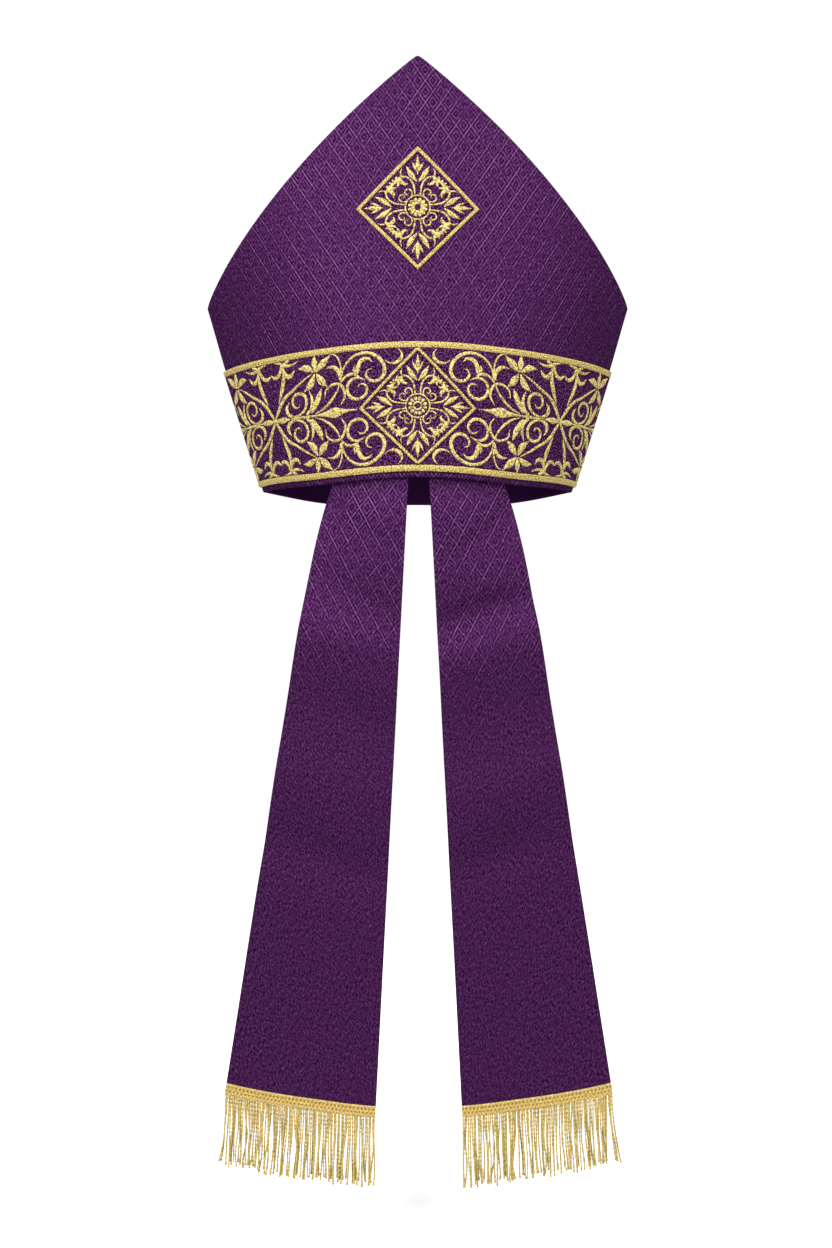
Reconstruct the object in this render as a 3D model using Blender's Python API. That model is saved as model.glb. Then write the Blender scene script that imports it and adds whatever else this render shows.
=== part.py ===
"""Bishop's mitre with two fringed lappets, as an assembly of its sewn pieces.

Metres, +Z up. The origin is the middle of the rim's opening, where a head goes in. -Y is the back of
the mitre, where the lappets hang, and +Y the front. Left and right are the wearer's.

Two stiff panels, one behind and one in front, are sewn together up their sides, and a soft gusset joins
their curved upper edges. An embroidered band lies round both between two gold braids.
"""

import bpy
import bmesh
import numpy as np

# ---------------------------------------------------------------- driving dimensions, in metres

GAP = 0.0003                    # left between pieces that touch on the real mitre

# The oval of the rim, the shoulders where the side seams end, and the peaks.
RIM_HALF_WIDTH = 0.1081
RIM_HALF_DEPTH = 0.088
SHOULDER_HALF_WIDTH = 0.1473
SHOULDER_HEIGHT = 0.1285
PEAK_HEIGHT = 0.2761
PEAK_HALF_DEPTH = 0.0625
PANEL_WALL = 0.0025

# A panel's level section is one side of a pointed oval, an arc bent through this half angle and fitted to
# the width and depth at its height. The panel is straight on its way up.
BEND = np.radians(60)

# The upper edge runs from shoulder to peak on a shallow curve, with both its corners eased.
EDGE_BULGE = 0.0062             # height of the curve above the straight line, half way along
PEAK_ROUNDING = 0.0015
SHOULDER_ROUNDING = 0.0012

# Heights on the panels: hem, lower braid, band, upper braid.
LOWER_BRAID = (0.0036, 0.0076)
BAND = (0.0079, 0.0822)
UPPER_BRAID = (0.0825, 0.0865)
BAND_DIP = 0.0021               # how far the hem and the band hang below level, midway to the seams
SEAM_FALL = 0.0021              # how far the upper braid's top sinks towards the seams as well
SEAM_FALL_START = 0.40          # the place across where that begins
BAND_THICKNESS = 0.0010
BRAID_THICKNESS = 0.0014

# Diamonds, by half their width and half their height. The band's has its tips tucked under the braids.
BAND_DIAMOND = (0.0371, 0.0381)
BAND_DIAMOND_RIBBON = 0.0018
BAND_DIAMOND_SHOWN = 0.0370     # half the height that shows
CROWN_DIAMOND = (0.0396, 0.0407)
CROWN_DIAMOND_RIBBON = 0.0022
CROWN_DIAMOND_HEIGHT = 0.1738
DIAMOND_THICKNESS = 0.0009
PATCH_THICKNESS = 0.0007

# The gusset, a V of soft cloth between the two upper edges.
GUSSET_INSET = 0.0015           # its edges lie this far below the panels' edges
GUSSET_DROP = 0.0026            # its thickness, measured straight down through the slope
GUSSET_VALLEY = 0.1455          # height of its fold half way between the shoulders
GUSSET_FOLD = 0.12              # how round the fold is, as a share of the half depth
GUSSET_REACH = 0.985            # how far towards the side seams it goes

# The lappets, measured down from the rim. Their tops are sewn inside it.
LAPPET_TUCK = 0.012
LAPPET_CLEAR = 0.003            # down to here it lies against the rim's wall, past the sagging hem
LAPPET_INNER_DROP = 0.3911
LAPPET_OUTER_DROP = 0.3785
LAPPET_END_SAG = 0.0024         # how far its slanted end sags below the straight line, in the middle
LAPPET_INNER_TOP = 0.0058       # distance of the inner edge from the middle, at the rim
LAPPET_OUTER_TOP = 0.0542
LAPPET_INNER_SPREAD = 0.0515    # growth of that distance for each metre down
LAPPET_OUTER_SPREAD = 0.157
LAPPET_FLARE = 0.006            # quick widening of the outer edge just below the rim
LAPPET_FLARE_DROP = 0.030
LAPPET_THICKNESS = 0.0016
LAPPET_UNROLL = 0.110           # below this drop a lappet no longer follows the rim's curve
LAPPET_ROLL_LEFT = 0.25         # share of that curve that it keeps
LAPPET_SHIFT = 0.0013           # the right one hangs this much further out sideways

# How far each lappet stands out from the rim's inner wall on its way down. It hangs in soft folds, which
# run slantwise and lie this much lower at its inner edge than at its outer edge.
LAPPET_SLANT = 0.018
LAPPET_HANG = (
    # drop,  left,    right
    (0.000, 0.0000, 0.0000),
    (0.004, 0.0000, 0.0000),
    (0.018, 0.0034, 0.0034),
    (0.038, 0.0052, 0.0050),
    (0.054, 0.0060, 0.0063),
    (0.070, 0.0053, 0.0056),
    (0.084, 0.0062, 0.0034),
    (0.104, 0.0096, 0.0088),
    (0.122, 0.0088, 0.0090),
    (0.146, 0.0064, 0.0062),
    (0.172, 0.0074, 0.0072),
    (0.192, 0.0094, 0.0098),
    (0.216, 0.0080, 0.0084),
    (0.238, 0.0054, 0.0056),
    (0.262, 0.0084, 0.0069),
    (0.300, 0.0092, 0.0082),
    (0.345, 0.0084, 0.0082),
    (0.400, 0.0090, 0.0084),
)

# The fringes: a braided heading and the strands that hang from it, here as locks.
FRINGE_HEADING = 0.0073
FRINGE_LENGTH = 0.051
FRINGE_HEADING_THICKNESS = 0.0022
FRINGE_LOCK_THICKNESS = 0.0016
FRINGE_LOCKS = 13
FRINGE_SLOT = 0.24              # share of a lock's pitch that is open beside it
FRINGE_TIP = 0.72               # a lock's width at its tip, as a share of its width above
FRINGE_RAGGED = 0.0022          # how much the locks differ in length

# Fineness of the walls.
PANEL_COLUMNS = 36
PANEL_UPPER_ROWS = 6
BAND_ROWS = 3
GUSSET_COLUMNS = 28
GUSSET_ROWS = 10
DIAMOND_PLACES = (0, 0.03, 0.2, 0.4, 0.6, 0.8, 0.97)     # of the points along a side
PATCH_STEPS = 7
LAPPET_COLUMNS = 6
LAPPET_ROWS = 34

BACK, FRONT = -1, 1             # the sign of Y on each side
LEFT, RIGHT = -1, 1             # the sign of X on each side


# ---------------------------------------------------------------- materials

def material(name, colour, roughness, metallic=0.0):
    """A Principled material of one colour."""
    made = bpy.data.materials.new(name)
    made.use_nodes = True
    shader = made.node_tree.nodes["Principled BSDF"]
    shader.inputs["Base Color"].default_value = (*colour, 1)
    shader.inputs["Roughness"].default_value = roughness
    shader.inputs["Metallic"].default_value = metallic
    return made


# ---------------------------------------------------------------- the panels' shape

def smooth_step(share):
    """0 to 1 with level ends."""
    share = np.clip(share, 0, 1)
    return share * share * (3 - 2 * share)


def half_width(height):
    """Half the outer width, as if the side seams ran on straight past the shoulders."""
    return RIM_HALF_WIDTH + (SHOULDER_HALF_WIDTH - RIM_HALF_WIDTH) * height / SHOULDER_HEIGHT


def half_depth(height):
    """Distance of a panel's middle line from the side seams' plane."""
    return RIM_HALF_DEPTH + (PEAK_HALF_DEPTH - RIM_HALF_DEPTH) * height / PEAK_HEIGHT


def dip(across, height):
    """How far a level line hangs below its height at the middle of the panel.

    The hem and the band hang midway to the seams. The band also falls off towards the seams, the more
    the higher up. Both die away between the upper braid and the shoulders.
    """
    dying = 1 - smooth_step((height - UPPER_BRAID[1]) / (SHOULDER_HEIGHT - UPPER_BRAID[1]))
    midway = BAND_DIP * np.sin(np.pi * across) ** 2
    towards_seam = smooth_step((np.abs(across) - SEAM_FALL_START) / (1 - SEAM_FALL_START))
    return dying * (midway + SEAM_FALL * towards_seam * np.clip(height / UPPER_BRAID[1], 0, 1))


def section_slope(across, height):
    """Rate of change of x and of depth along the level section."""
    run = half_width(height) * BEND * np.cos(BEND * across) / np.sin(BEND)
    rise = -half_depth(height) * BEND * np.sin(BEND * across) / (1 - np.cos(BEND))
    return run, rise


def outward(across, height):
    """Level direction out of the panel. At the side seams it is mitred, so that walls end at the seam."""
    run, rise = section_slope(across, height)
    length = np.hypot(run, rise)
    out_x, out_depth = -rise / length, run / length
    at_seam = np.abs(across) > 1 - 1e-9
    return np.where(at_seam, 1 / np.where(at_seam, out_x, 1), out_x), np.where(at_seam, 0, out_depth)


def panel_point(side, across, height, out=0.0):
    """A point of a panel's outer face, from -1 to 1 across, moved outwards by out."""
    across, height = np.broadcast_arrays(np.asarray(across, float), np.asarray(height, float))
    out_x, out_depth = outward(across, height)
    x = half_width(height) * np.sin(BEND * across) / np.sin(BEND) + out * out_x
    depth = half_depth(height) * (np.cos(BEND * across) - np.cos(BEND)) / (1 - np.cos(BEND))
    y = side * (GAP / 2 + depth + out * out_depth)
    return np.stack([x, y, height - dip(across, height)], axis=-1)


def edge_height(x):
    """Height of the panel's upper edge at x: a shallow curve with an eased peak and eased shoulders."""
    eased = np.sqrt(x * x + PEAK_ROUNDING ** 2) - PEAK_ROUNDING
    share = np.abs(eased) / SHOULDER_HALF_WIDTH
    straight = PEAK_HEIGHT + (SHOULDER_HEIGHT - PEAK_HEIGHT) * share
    from_corner = (np.abs(x) - SHOULDER_HALF_WIDTH) / SHOULDER_ROUNDING
    return straight + 4 * EDGE_BULGE * share * (1 - share) - SHOULDER_ROUNDING * np.exp(from_corner)


def top_height(across):
    """Height of the upper edge in each column of the panel, found by stepping onto the edge's curve."""
    height = np.full(np.shape(across), SHOULDER_HEIGHT)
    for _ in range(40):
        height = edge_height(panel_point(BACK, across, height)[..., 0])
    return height


def across_at_x(x, height, out):
    """The place across the panel where the face moved by out has this x."""
    across = x / half_width(height)
    for _ in range(12):
        out_x, _ = outward(across, height)
        sine = (x - out * out_x) * np.sin(BEND) / half_width(height)
        across = np.arcsin(np.clip(sine, -1, 1)) / BEND
    return across


def across_at_length(length, height):
    """The place across the panel at this distance from its middle, measured along the section."""
    marks, weights = np.polynomial.legendre.leggauss(8)
    across = length / half_width(height)
    for _ in range(8):
        places = across[..., None] * (marks + 1) / 2
        speed = np.hypot(*section_slope(places, height[..., None]))
        measured = across / 2 * (speed * weights).sum(axis=-1)
        across = across - (measured - length) / np.hypot(*section_slope(across, height))
    return across


# ---------------------------------------------------------------- walls

def wall(name, near, far, finish, kept=None, ring=False):
    """A closed wall between two matching skins, each a grid of points in rows and columns.

    kept marks the cells of the grid that are cloth, where some are open. In a ring the last column joins
    the first. Both skins are cut into triangles the same way, so walls laid on each other stay parallel.
    """
    rows, columns = near.shape[:2]
    cells_across = columns if ring else columns - 1
    if kept is None:
        kept = np.ones((rows - 1, cells_across), bool)

    def is_kept(row, column):
        if ring:
            column %= columns
        return 0 <= row < rows - 1 and 0 <= column < cells_across and kept[row, column]

    def vertex(row, column, skin):
        return skin * rows * columns + row * columns + column % columns

    faces = []
    for row in range(rows - 1):
        for column in range(cells_across):
            if not kept[row, column]:
                continue
            corners = [(row, column), (row, column + 1), (row + 1, column + 1), (row + 1, column)]
            neighbours = [(row - 1, column), (row, column + 1), (row + 1, column), (row, column - 1)]
            for half in (corners[:3], [corners[0], *corners[2:]]):
                faces.append([vertex(*corner, 0) for corner in half])
                faces.append([vertex(*corner, 1) for corner in reversed(half)])
            for start, neighbour in enumerate(neighbours):
                if not is_kept(*neighbour):
                    one, two = corners[start], corners[(start + 1) % 4]
                    faces.append([vertex(*two, 0), vertex(*one, 0), vertex(*one, 1), vertex(*two, 1)])

    mesh = bpy.data.meshes.new(name)
    mesh.from_pydata(np.concatenate([near.reshape(-1, 3), far.reshape(-1, 3)]).tolist(), [], faces)
    shape = bmesh.new()
    shape.from_mesh(mesh)
    bmesh.ops.delete(shape, geom=[v for v in shape.verts if not v.link_faces], context="VERTS")
    bmesh.ops.recalc_face_normals(shape, faces=shape.faces)
    shape.to_mesh(mesh)
    shape.free()
    mesh.materials.append(finish)
    mesh.shade_smooth()
    mesh.set_sharp_from_angle(angle=np.radians(40))
    made = bpy.data.objects.new(name, mesh)
    bpy.data.collections["bishop_mitre"].objects.link(made)
    return made


def between(start, end, count):
    """Evenly spaced values, both ends included."""
    return np.linspace(start, end, count + 1)


# ---------------------------------------------------------------- the crown

def make_panel(name, side, finish):
    """A stiffened panel of brocade, from the rim to its pointed upper edge."""
    across = between(-1, 1, PANEL_COLUMNS)
    level = [0, *between(BAND[0], BAND[1], BAND_ROWS)]
    top = top_height(across)
    upper = [BAND[1] + (top - BAND[1]) * share for share in between(0, 1, PANEL_UPPER_ROWS)[1:]]
    height = np.array([np.full(across.shape, row) for row in level] + upper)
    outer = panel_point(side, across, height)
    inner = panel_point(side, across, height, -PANEL_WALL)
    return wall(name, outer, inner, finish)


def make_gusset(finish):
    """Soft cloth folded in a V between the two panels' upper edges."""
    across = between(-GUSSET_REACH, GUSSET_REACH, GUSSET_COLUMNS)
    share = between(-1, 1, GUSSET_ROWS)
    fold = (np.hypot(share, GUSSET_FOLD) - GUSSET_FOLD) / (np.hypot(1, GUSSET_FOLD) - GUSSET_FOLD)

    def skin(drop):
        height = top_height(across) - GUSSET_INSET - drop
        border = panel_point(FRONT, across, height, -(PANEL_WALL + GAP))
        ends = height[0] - GUSSET_INSET
        towards_end = (border[:, 0] / border[-1, 0]) ** 2
        valley = ends + (GUSSET_VALLEY - drop - ends) * (1 - towards_end)
        grid = np.empty((GUSSET_ROWS + 1, GUSSET_COLUMNS + 1, 3))
        grid[..., 0] = border[:, 0]
        grid[..., 1] = share[:, None] * border[:, 1]
        grid[..., 2] = valley + fold[:, None] * (border[:, 2] - valley)
        return grid

    return wall("gusset", skin(0), skin(GUSSET_DROP), finish)


def make_strip(name, side, heights, rows, thickness, finish):
    """A level strip laid on a panel from seam to seam, such as the band or a braid."""
    across = between(-1, 1, PANEL_COLUMNS)
    height = between(*heights, rows)[:, None]
    under = panel_point(side, across, height, GAP)
    over = panel_point(side, across, height, GAP + thickness)
    return wall(name, over, under, finish)


# ---------------------------------------------------------------- the diamonds

def drawn_in(half_size, inset):
    """Half sizes of the diamond whose sides lie this far inside those of the given one."""
    size = np.array(half_size)
    return size * (1 - inset * np.hypot(*size) / size.prod())


def diamond_loop(half_size):
    """Points round a diamond, as distance along the cloth and height from its middle."""
    corners = half_size * np.array([(1, 0), (0, 1), (-1, 0), (0, -1)])
    share = np.array(DIAMOND_PLACES)[:, None]
    return np.concatenate([
        corners[side] + (corners[(side + 1) % 4] - corners[side]) * share for side in range(4)
    ])


def on_cloth(side, flat, middle, out):
    """Flat points laid on a panel, about the middle height."""
    height = middle + flat[..., 1]
    return panel_point(side, across_at_length(flat[..., 0], height), height, out)


def make_diamond_frame(name, side, middle, half_size, ribbon, shown, under, finish):
    """A diamond of gold ribbon laid flat on the cloth, mitred at its corners. Its tips end at shown."""
    flat = np.array([diamond_loop(drawn_in(half_size, inset)) for inset in (0, ribbon)])
    flat[..., 1] = np.clip(flat[..., 1], -shown, shown)
    near = on_cloth(side, flat, middle, under + DIAMOND_THICKNESS)
    far = on_cloth(side, flat, middle, under)
    return wall(name, near, far, finish, ring=True)


def make_crown_patch(name, side, finish):
    """The ground of the crown's diamond, a square of cloth that lies inside the gold frame."""
    half_size = drawn_in(CROWN_DIAMOND, CROWN_DIAMOND_RIBBON + GAP)
    share = between(-1, 1, PATCH_STEPS) / 2
    one, two = np.meshgrid(share, share)
    flat = half_size * np.stack([one + two, one - two], axis=-1)
    near = on_cloth(side, flat, CROWN_DIAMOND_HEIGHT, GAP + PATCH_THICKNESS)
    far = on_cloth(side, flat, CROWN_DIAMOND_HEIGHT, GAP)
    return wall(name, near, far, finish)


# ---------------------------------------------------------------- lappets and fringes

def lappet_edges(drop):
    """Distances of a lappet's inner and outer edge from the middle, at a drop below the rim."""
    below = np.maximum(drop, 0)
    inner = LAPPET_INNER_TOP + LAPPET_INNER_SPREAD * below
    flare = LAPPET_FLARE * (1 - np.exp(-below / LAPPET_FLARE_DROP))
    return inner, LAPPET_OUTER_TOP + LAPPET_OUTER_SPREAD * below + flare


def stand_off(hand, drop):
    """How far a lappet hangs out from the rim's inner wall, read smoothly from its table."""
    table = np.array(LAPPET_HANG)
    drops, values = table[:, 0], table[:, 1 if hand == LEFT else 2]
    slopes = np.gradient(values, drops)
    slopes[0] = 0
    drop = np.clip(drop, drops[0], drops[-1])
    row = np.clip(np.searchsorted(drops, drop, side="right") - 1, 0, len(drops) - 2)
    length = drops[row + 1] - drops[row]
    share = (drop - drops[row]) / length
    bent = values[row] * (1 + 2 * share) * (1 - share) ** 2 + values[row + 1] * share ** 2 * (3 - 2 * share)
    turned = slopes[row] * share * (1 - share) ** 2 - slopes[row + 1] * share ** 2 * (1 - share)
    return bent + length * turned


def lappet_point(hand, share, drop, inwards=0.0):
    """A point of a lappet's back face, from 0 at its inner edge to 1 at its outer edge.

    Its top follows the rim's inner wall. Further down it unrolls into an almost flat hanging.
    """
    inner, outer = lappet_edges(drop)
    x = inner + share * (outer - inner) + (LAPPET_SHIFT if hand == RIGHT else 0)
    height = np.maximum(-drop, 0)
    on_wall = -PANEL_WALL - GAP
    reach = np.minimum(x, LAPPET_OUTER_TOP + LAPPET_FLARE)
    rolled = panel_point(BACK, across_at_x(reach, height, on_wall), height, on_wall)[..., 1]
    middle = panel_point(BACK, across_at_x(reach * 0, height, on_wall), height, on_wall)[..., 1]
    roll = 1 - (1 - LAPPET_ROLL_LEFT) * smooth_step(drop / LAPPET_UNROLL)
    slanted = drop + LAPPET_SLANT * (share - 0.5) * smooth_step(drop / 0.05)
    y = middle + roll * (rolled - middle) - stand_off(hand, slanted) + inwards
    return np.stack([hand * x, y, -drop + 0 * x], axis=-1)


def lappet_bottom(share):
    """Drop of a lappet's slanted lower end, which sags a little."""
    straight = LAPPET_INNER_DROP + (LAPPET_OUTER_DROP - LAPPET_INNER_DROP) * share
    return straight + 4 * LAPPET_END_SAG * share * (1 - share)


def make_lappet(name, hand, finish):
    """A long strip of lined brocade, sewn inside the rim and widening to its slanted end.

    Its rows lie closer together near the top, where the folds are short.
    """
    share = between(0, 1, LAPPET_COLUMNS)
    down = between(0, 1, LAPPET_ROWS - 1)[:, None] ** 1.25
    drop = LAPPET_CLEAR + down * (lappet_bottom(share) - LAPPET_CLEAR)
    drop = np.concatenate([np.full((1, LAPPET_COLUMNS + 1), -LAPPET_TUCK), drop])
    near = lappet_point(hand, share, drop)
    far = lappet_point(hand, share, drop, LAPPET_THICKNESS)
    return wall(name, near, far, finish)


def make_fringe(name, hand, finish):
    """A braided heading along a lappet's end, with the strands hanging from it in locks."""
    pitch = 1 / FRINGE_LOCKS
    starts = np.arange(FRINGE_LOCKS) * pitch + FRINGE_SLOT * pitch / 2
    lock_width = (1 - FRINGE_SLOT) * pitch
    edges = np.stack([starts, starts + lock_width], axis=1).ravel()
    edges[0], edges[-1] = 0, 1
    middles = np.repeat((edges[::2] + edges[1::2]) / 2, 2)
    ragged = FRINGE_RAGGED * np.sin(2.4 * np.arange(FRINGE_LOCKS) + hand)
    lengths = np.repeat(FRINGE_LENGTH + ragged, 2)

    rows = [
        # share of the strands' length, width, thickness
        (0.00, 1.00, FRINGE_LOCK_THICKNESS),
        (0.45, 1.00, FRINGE_LOCK_THICKNESS),
        (1.00, FRINGE_TIP, FRINGE_LOCK_THICKNESS * FRINGE_TIP),
    ]
    shares, drops, thicknesses = [edges], [lappet_bottom(edges) + GAP], [FRINGE_HEADING_THICKNESS]
    for along, width, thickness in rows:
        shares.append(middles + (edges - middles) * width)
        reach = FRINGE_HEADING + along * (lengths - FRINGE_HEADING)
        drops.append(lappet_bottom(edges) + GAP + reach)
        thicknesses.append(FRINGE_HEADING_THICKNESS if along == 0 else thickness)

    share, drop = np.array(shares), np.array(drops)
    centre = LAPPET_THICKNESS / 2
    half = np.array(thicknesses)[:, None] / 2
    kept = np.ones((len(shares) - 1, len(edges) - 1), bool)
    kept[1:, 1::2] = False
    near = lappet_point(hand, share, drop, centre - half)
    far = lappet_point(hand, share, drop, centre + half)
    return wall(name, near, far, finish, kept=kept)


# ---------------------------------------------------------------- assembly

def clear_scene():
    """Starts from an empty scene with one collection for the mitre."""
    for thing in list(bpy.data.objects):
        bpy.data.objects.remove(thing, do_unlink=True)
    bpy.context.scene.collection.children.link(bpy.data.collections.new("bishop_mitre"))


def main():
    clear_scene()
    brocade = material("purple brocade", (0.075, 0.014, 0.115), 0.55)
    band_cloth = material("band cloth", (0.045, 0.010, 0.065), 0.70)
    gold_braid = material("gold braid", (0.62, 0.44, 0.14), 0.45, 0.3)
    gold_fringe = material("gold fringe", (0.70, 0.52, 0.20), 0.50, 0.2)
    gusset_cloth = material("gusset cloth", (0.060, 0.012, 0.090), 0.65)

    make_gusset(gusset_cloth)
    for side_name, side in (("back", BACK), ("front", FRONT)):
        make_panel(f"{side_name}_panel", side, brocade)
        make_strip(f"band_{side_name}", side, BAND, BAND_ROWS, BAND_THICKNESS, band_cloth)
        make_strip(f"lower_braid_{side_name}", side, LOWER_BRAID, 1, BRAID_THICKNESS, gold_braid)
        make_strip(f"upper_braid_{side_name}", side, UPPER_BRAID, 1, BRAID_THICKNESS, gold_braid)
        make_diamond_frame(
            f"band_diamond_{side_name}", side, sum(BAND) / 2, BAND_DIAMOND, BAND_DIAMOND_RIBBON,
            BAND_DIAMOND_SHOWN, 2 * GAP + BAND_THICKNESS, gold_braid)
        make_diamond_frame(
            f"crown_diamond_{side_name}", side, CROWN_DIAMOND_HEIGHT, CROWN_DIAMOND,
            CROWN_DIAMOND_RIBBON, CROWN_DIAMOND[1], GAP, gold_braid)
        make_crown_patch(f"crown_patch_{side_name}", side, band_cloth)
    for hand_name, hand in (("left", LEFT), ("right", RIGHT)):
        make_lappet(f"lappet_{hand_name}", hand, brocade)
        make_fringe(f"fringe_{hand_name}", hand, gold_fringe)


main()
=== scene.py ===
"""The looks of a bishop's mitre: brocade panels, soft gusset, embroidered band, lappets and fringes.

Metres, +Z up, with the origin in the middle of the rim's opening. -Y is the back, where the lappets hang.
Flat measures of embroidery and every pattern's scale are in millimetres along the cloth.
"""

import bmesh
import bpy
import numpy as np
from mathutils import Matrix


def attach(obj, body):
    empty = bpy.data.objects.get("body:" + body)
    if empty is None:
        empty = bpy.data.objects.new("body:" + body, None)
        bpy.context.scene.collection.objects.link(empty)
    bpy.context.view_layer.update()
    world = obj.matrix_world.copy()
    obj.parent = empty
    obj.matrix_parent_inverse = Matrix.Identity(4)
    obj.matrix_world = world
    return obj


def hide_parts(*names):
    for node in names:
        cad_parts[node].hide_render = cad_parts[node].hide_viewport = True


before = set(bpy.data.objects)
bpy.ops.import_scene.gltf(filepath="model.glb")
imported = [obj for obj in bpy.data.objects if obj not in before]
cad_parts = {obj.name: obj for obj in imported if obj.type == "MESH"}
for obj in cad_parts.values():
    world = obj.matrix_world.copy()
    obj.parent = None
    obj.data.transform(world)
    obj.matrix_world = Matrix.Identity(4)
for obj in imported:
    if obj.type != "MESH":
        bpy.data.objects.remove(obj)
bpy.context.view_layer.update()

MM = 0.001
BACK, FRONT = -1, 1             # the sign of Y on each side
LEFT, RIGHT = -1, 1             # the sign of X on each side
SIDES = (("back", BACK), ("front", FRONT))
HANDS = (("left", LEFT), ("right", RIGHT))


# ================================================================ the two panels
# Stiff interlining covered outside with silk brocade, which is turned over the upper edge and the hem,
# and faced inside with plain lining. The two are sewn to each other up their sides.

GAP = 0.0003
RIM_HALF_WIDTH = 0.1081
RIM_HALF_DEPTH = 0.088
SHOULDER_HALF_WIDTH = 0.1473
SHOULDER_HEIGHT = 0.1285
PEAK_HEIGHT = 0.2761
PEAK_HALF_DEPTH = 0.0625
PANEL_WALL = 0.0025
BEND = np.radians(60)           # half angle of the arc that a panel's level section follows
EDGE_BULGE = 0.0062
PEAK_ROUNDING = 0.0015
SHOULDER_ROUNDING = 0.0012
BAND_DIP = 0.0021               # how far the hem and the band hang below level, midway to the seams
SEAM_FALL = 0.0021              # how far the upper braid's top sinks towards the seams as well
SEAM_FALL_START = 0.40
BAND_TOP = 0.0865
EDGE_RADIUS = 0.0012            # of the brocade turned over the panel's edge
SEAM_RADIUS = 0.0006            # of the brocade turned in at the side seam
WAVER = 0.00014                 # height of each of the two waves by which sewn cloth is never quite even
PANEL_COLUMNS = 120
PANEL_ROWS = 72
PEAK_COLUMN_STEP = 0.0045       # between the extra columns that round the peak


def smooth_step(share):
    """0 to 1 with level ends: three times the square less twice the cube."""
    share = np.clip(share, 0, 1)
    return share * share * (3 - 2 * share)


def together(*parts):
    """Arrays as the last axis of one array, each spread over the shape that all of them share."""
    return np.stack(np.broadcast_arrays(*parts), axis=-1)


def half_width(height):
    """Half the outer width: it grows evenly with height."""
    return RIM_HALF_WIDTH + (SHOULDER_HALF_WIDTH - RIM_HALF_WIDTH) * height / SHOULDER_HEIGHT


def half_depth(height):
    """Distance of a panel's middle line from the side seams' plane: it shrinks evenly with height."""
    return RIM_HALF_DEPTH + (PEAK_HALF_DEPTH - RIM_HALF_DEPTH) * height / PEAK_HEIGHT


def section_slope(across, height):
    """Rate of change of x and of depth along the level section, the derivative of the bent arc."""
    run = half_width(height) * BEND * np.cos(BEND * across) / np.sin(BEND)
    rise = -half_depth(height) * BEND * np.sin(BEND * across) / (1 - np.cos(BEND))
    return run, rise


def waver(across, height):
    """How far the cloth stands out of true: two crossed sine waves that die away at the seams."""
    one = np.sin(6.3 * across + 38 * height + 0.8)
    two = np.sin(-4.1 * across + 61 * height + 2.1)
    return WAVER * (one + two) * (1 - across ** 2)


def panel_point(side, across, height, out=0.0):
    """A point of a panel's outer face, from -1 to 1 across, moved outwards by out.

    x is the half width times the sine of the bent arc, and the depth is the half depth times its cosine,
    both scaled to end at the seams. At a seam the way out is mitred, straight along x.
    """
    across, height = np.broadcast_arrays(np.asarray(across, float), np.asarray(height, float))
    run, rise = section_slope(across, height)
    length = np.hypot(run, rise)
    at_seam = np.abs(across) > 1 - 1e-9
    out_x = np.where(at_seam, length / np.where(at_seam, -rise, 1), -rise / length)
    out_depth = np.where(at_seam, 0, run / length)
    out = out + waver(across, height)
    x = half_width(height) * np.sin(BEND * across) / np.sin(BEND) + out * out_x
    depth = half_depth(height) * (np.cos(BEND * across) - np.cos(BEND)) / (1 - np.cos(BEND))
    dying = 1 - smooth_step((height - BAND_TOP) / (SHOULDER_HEIGHT - BAND_TOP))
    towards_seam = smooth_step((np.abs(across) - SEAM_FALL_START) / (1 - SEAM_FALL_START))
    fall = SEAM_FALL * towards_seam * np.clip(height / BAND_TOP, 0, 1)
    dip = dying * (BAND_DIP * np.sin(np.pi * across) ** 2 + fall)
    return together(x, side * (GAP / 2 + depth + out * out_depth), height - dip)


def top_height(across):
    """Height of the upper edge in each column: a shallow curve with an eased peak and eased shoulders.

    The edge's curve gives height from x and the panel gives x from height, so stepping between the two
    settles on the point that has both.
    """
    height = np.full(np.shape(across), SHOULDER_HEIGHT)
    for _ in range(40):
        x = panel_point(BACK, across, height)[..., 0]
        share = (np.sqrt(x * x + PEAK_ROUNDING ** 2) - PEAK_ROUNDING) / SHOULDER_HALF_WIDTH
        corner = SHOULDER_ROUNDING * np.exp((np.abs(x) - SHOULDER_HALF_WIDTH) / SHOULDER_ROUNDING)
        straight = PEAK_HEIGHT + (SHOULDER_HEIGHT - PEAK_HEIGHT) * share
        height = straight + 4 * EDGE_BULGE * share * (1 - share) - corner
    return height


def length_across(across, height):
    """Distance along the section from the middle: the arc's speed, summed at Gauss's eight places."""
    marks, weights = np.polynomial.legendre.leggauss(8)
    across, height = np.broadcast_arrays(np.asarray(across, float), np.asarray(height, float))
    places = across[..., None] * (marks + 1) / 2
    return across / 2 * (np.hypot(*section_slope(places, height[..., None])) * weights).sum(axis=-1)


def lines_with_edges(start, end, count, radius):
    """Even places from start to end, with four more close to each end for a rounded edge."""
    near_edge = radius * np.array([0, 0.08, 0.3, 0.65])
    inside = np.linspace(start + radius, end - radius, count)
    return np.concatenate([start + near_edge, inside, end - near_edge[::-1]])


def turned_in(distance, radius):
    """How far a face falls back at this distance from its edge, along nearly a quarter of a circle."""
    left = np.clip(1 - distance / radius, 0, 1)
    return radius * (1 - np.sqrt(1 - 0.98 * left ** 2))


def to_linear(hex_colour):
    """An sRGB colour such as #53285d as the linear colour that shaders take."""
    shares = np.array([int(hex_colour[place:place + 2], 16) for place in (1, 3, 5)]) / 255
    linear = np.where(shares <= 0.04045, shares / 12.92, ((shares + 0.055) / 1.055) ** 2.4)
    return (*linear.tolist(), 1)


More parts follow.
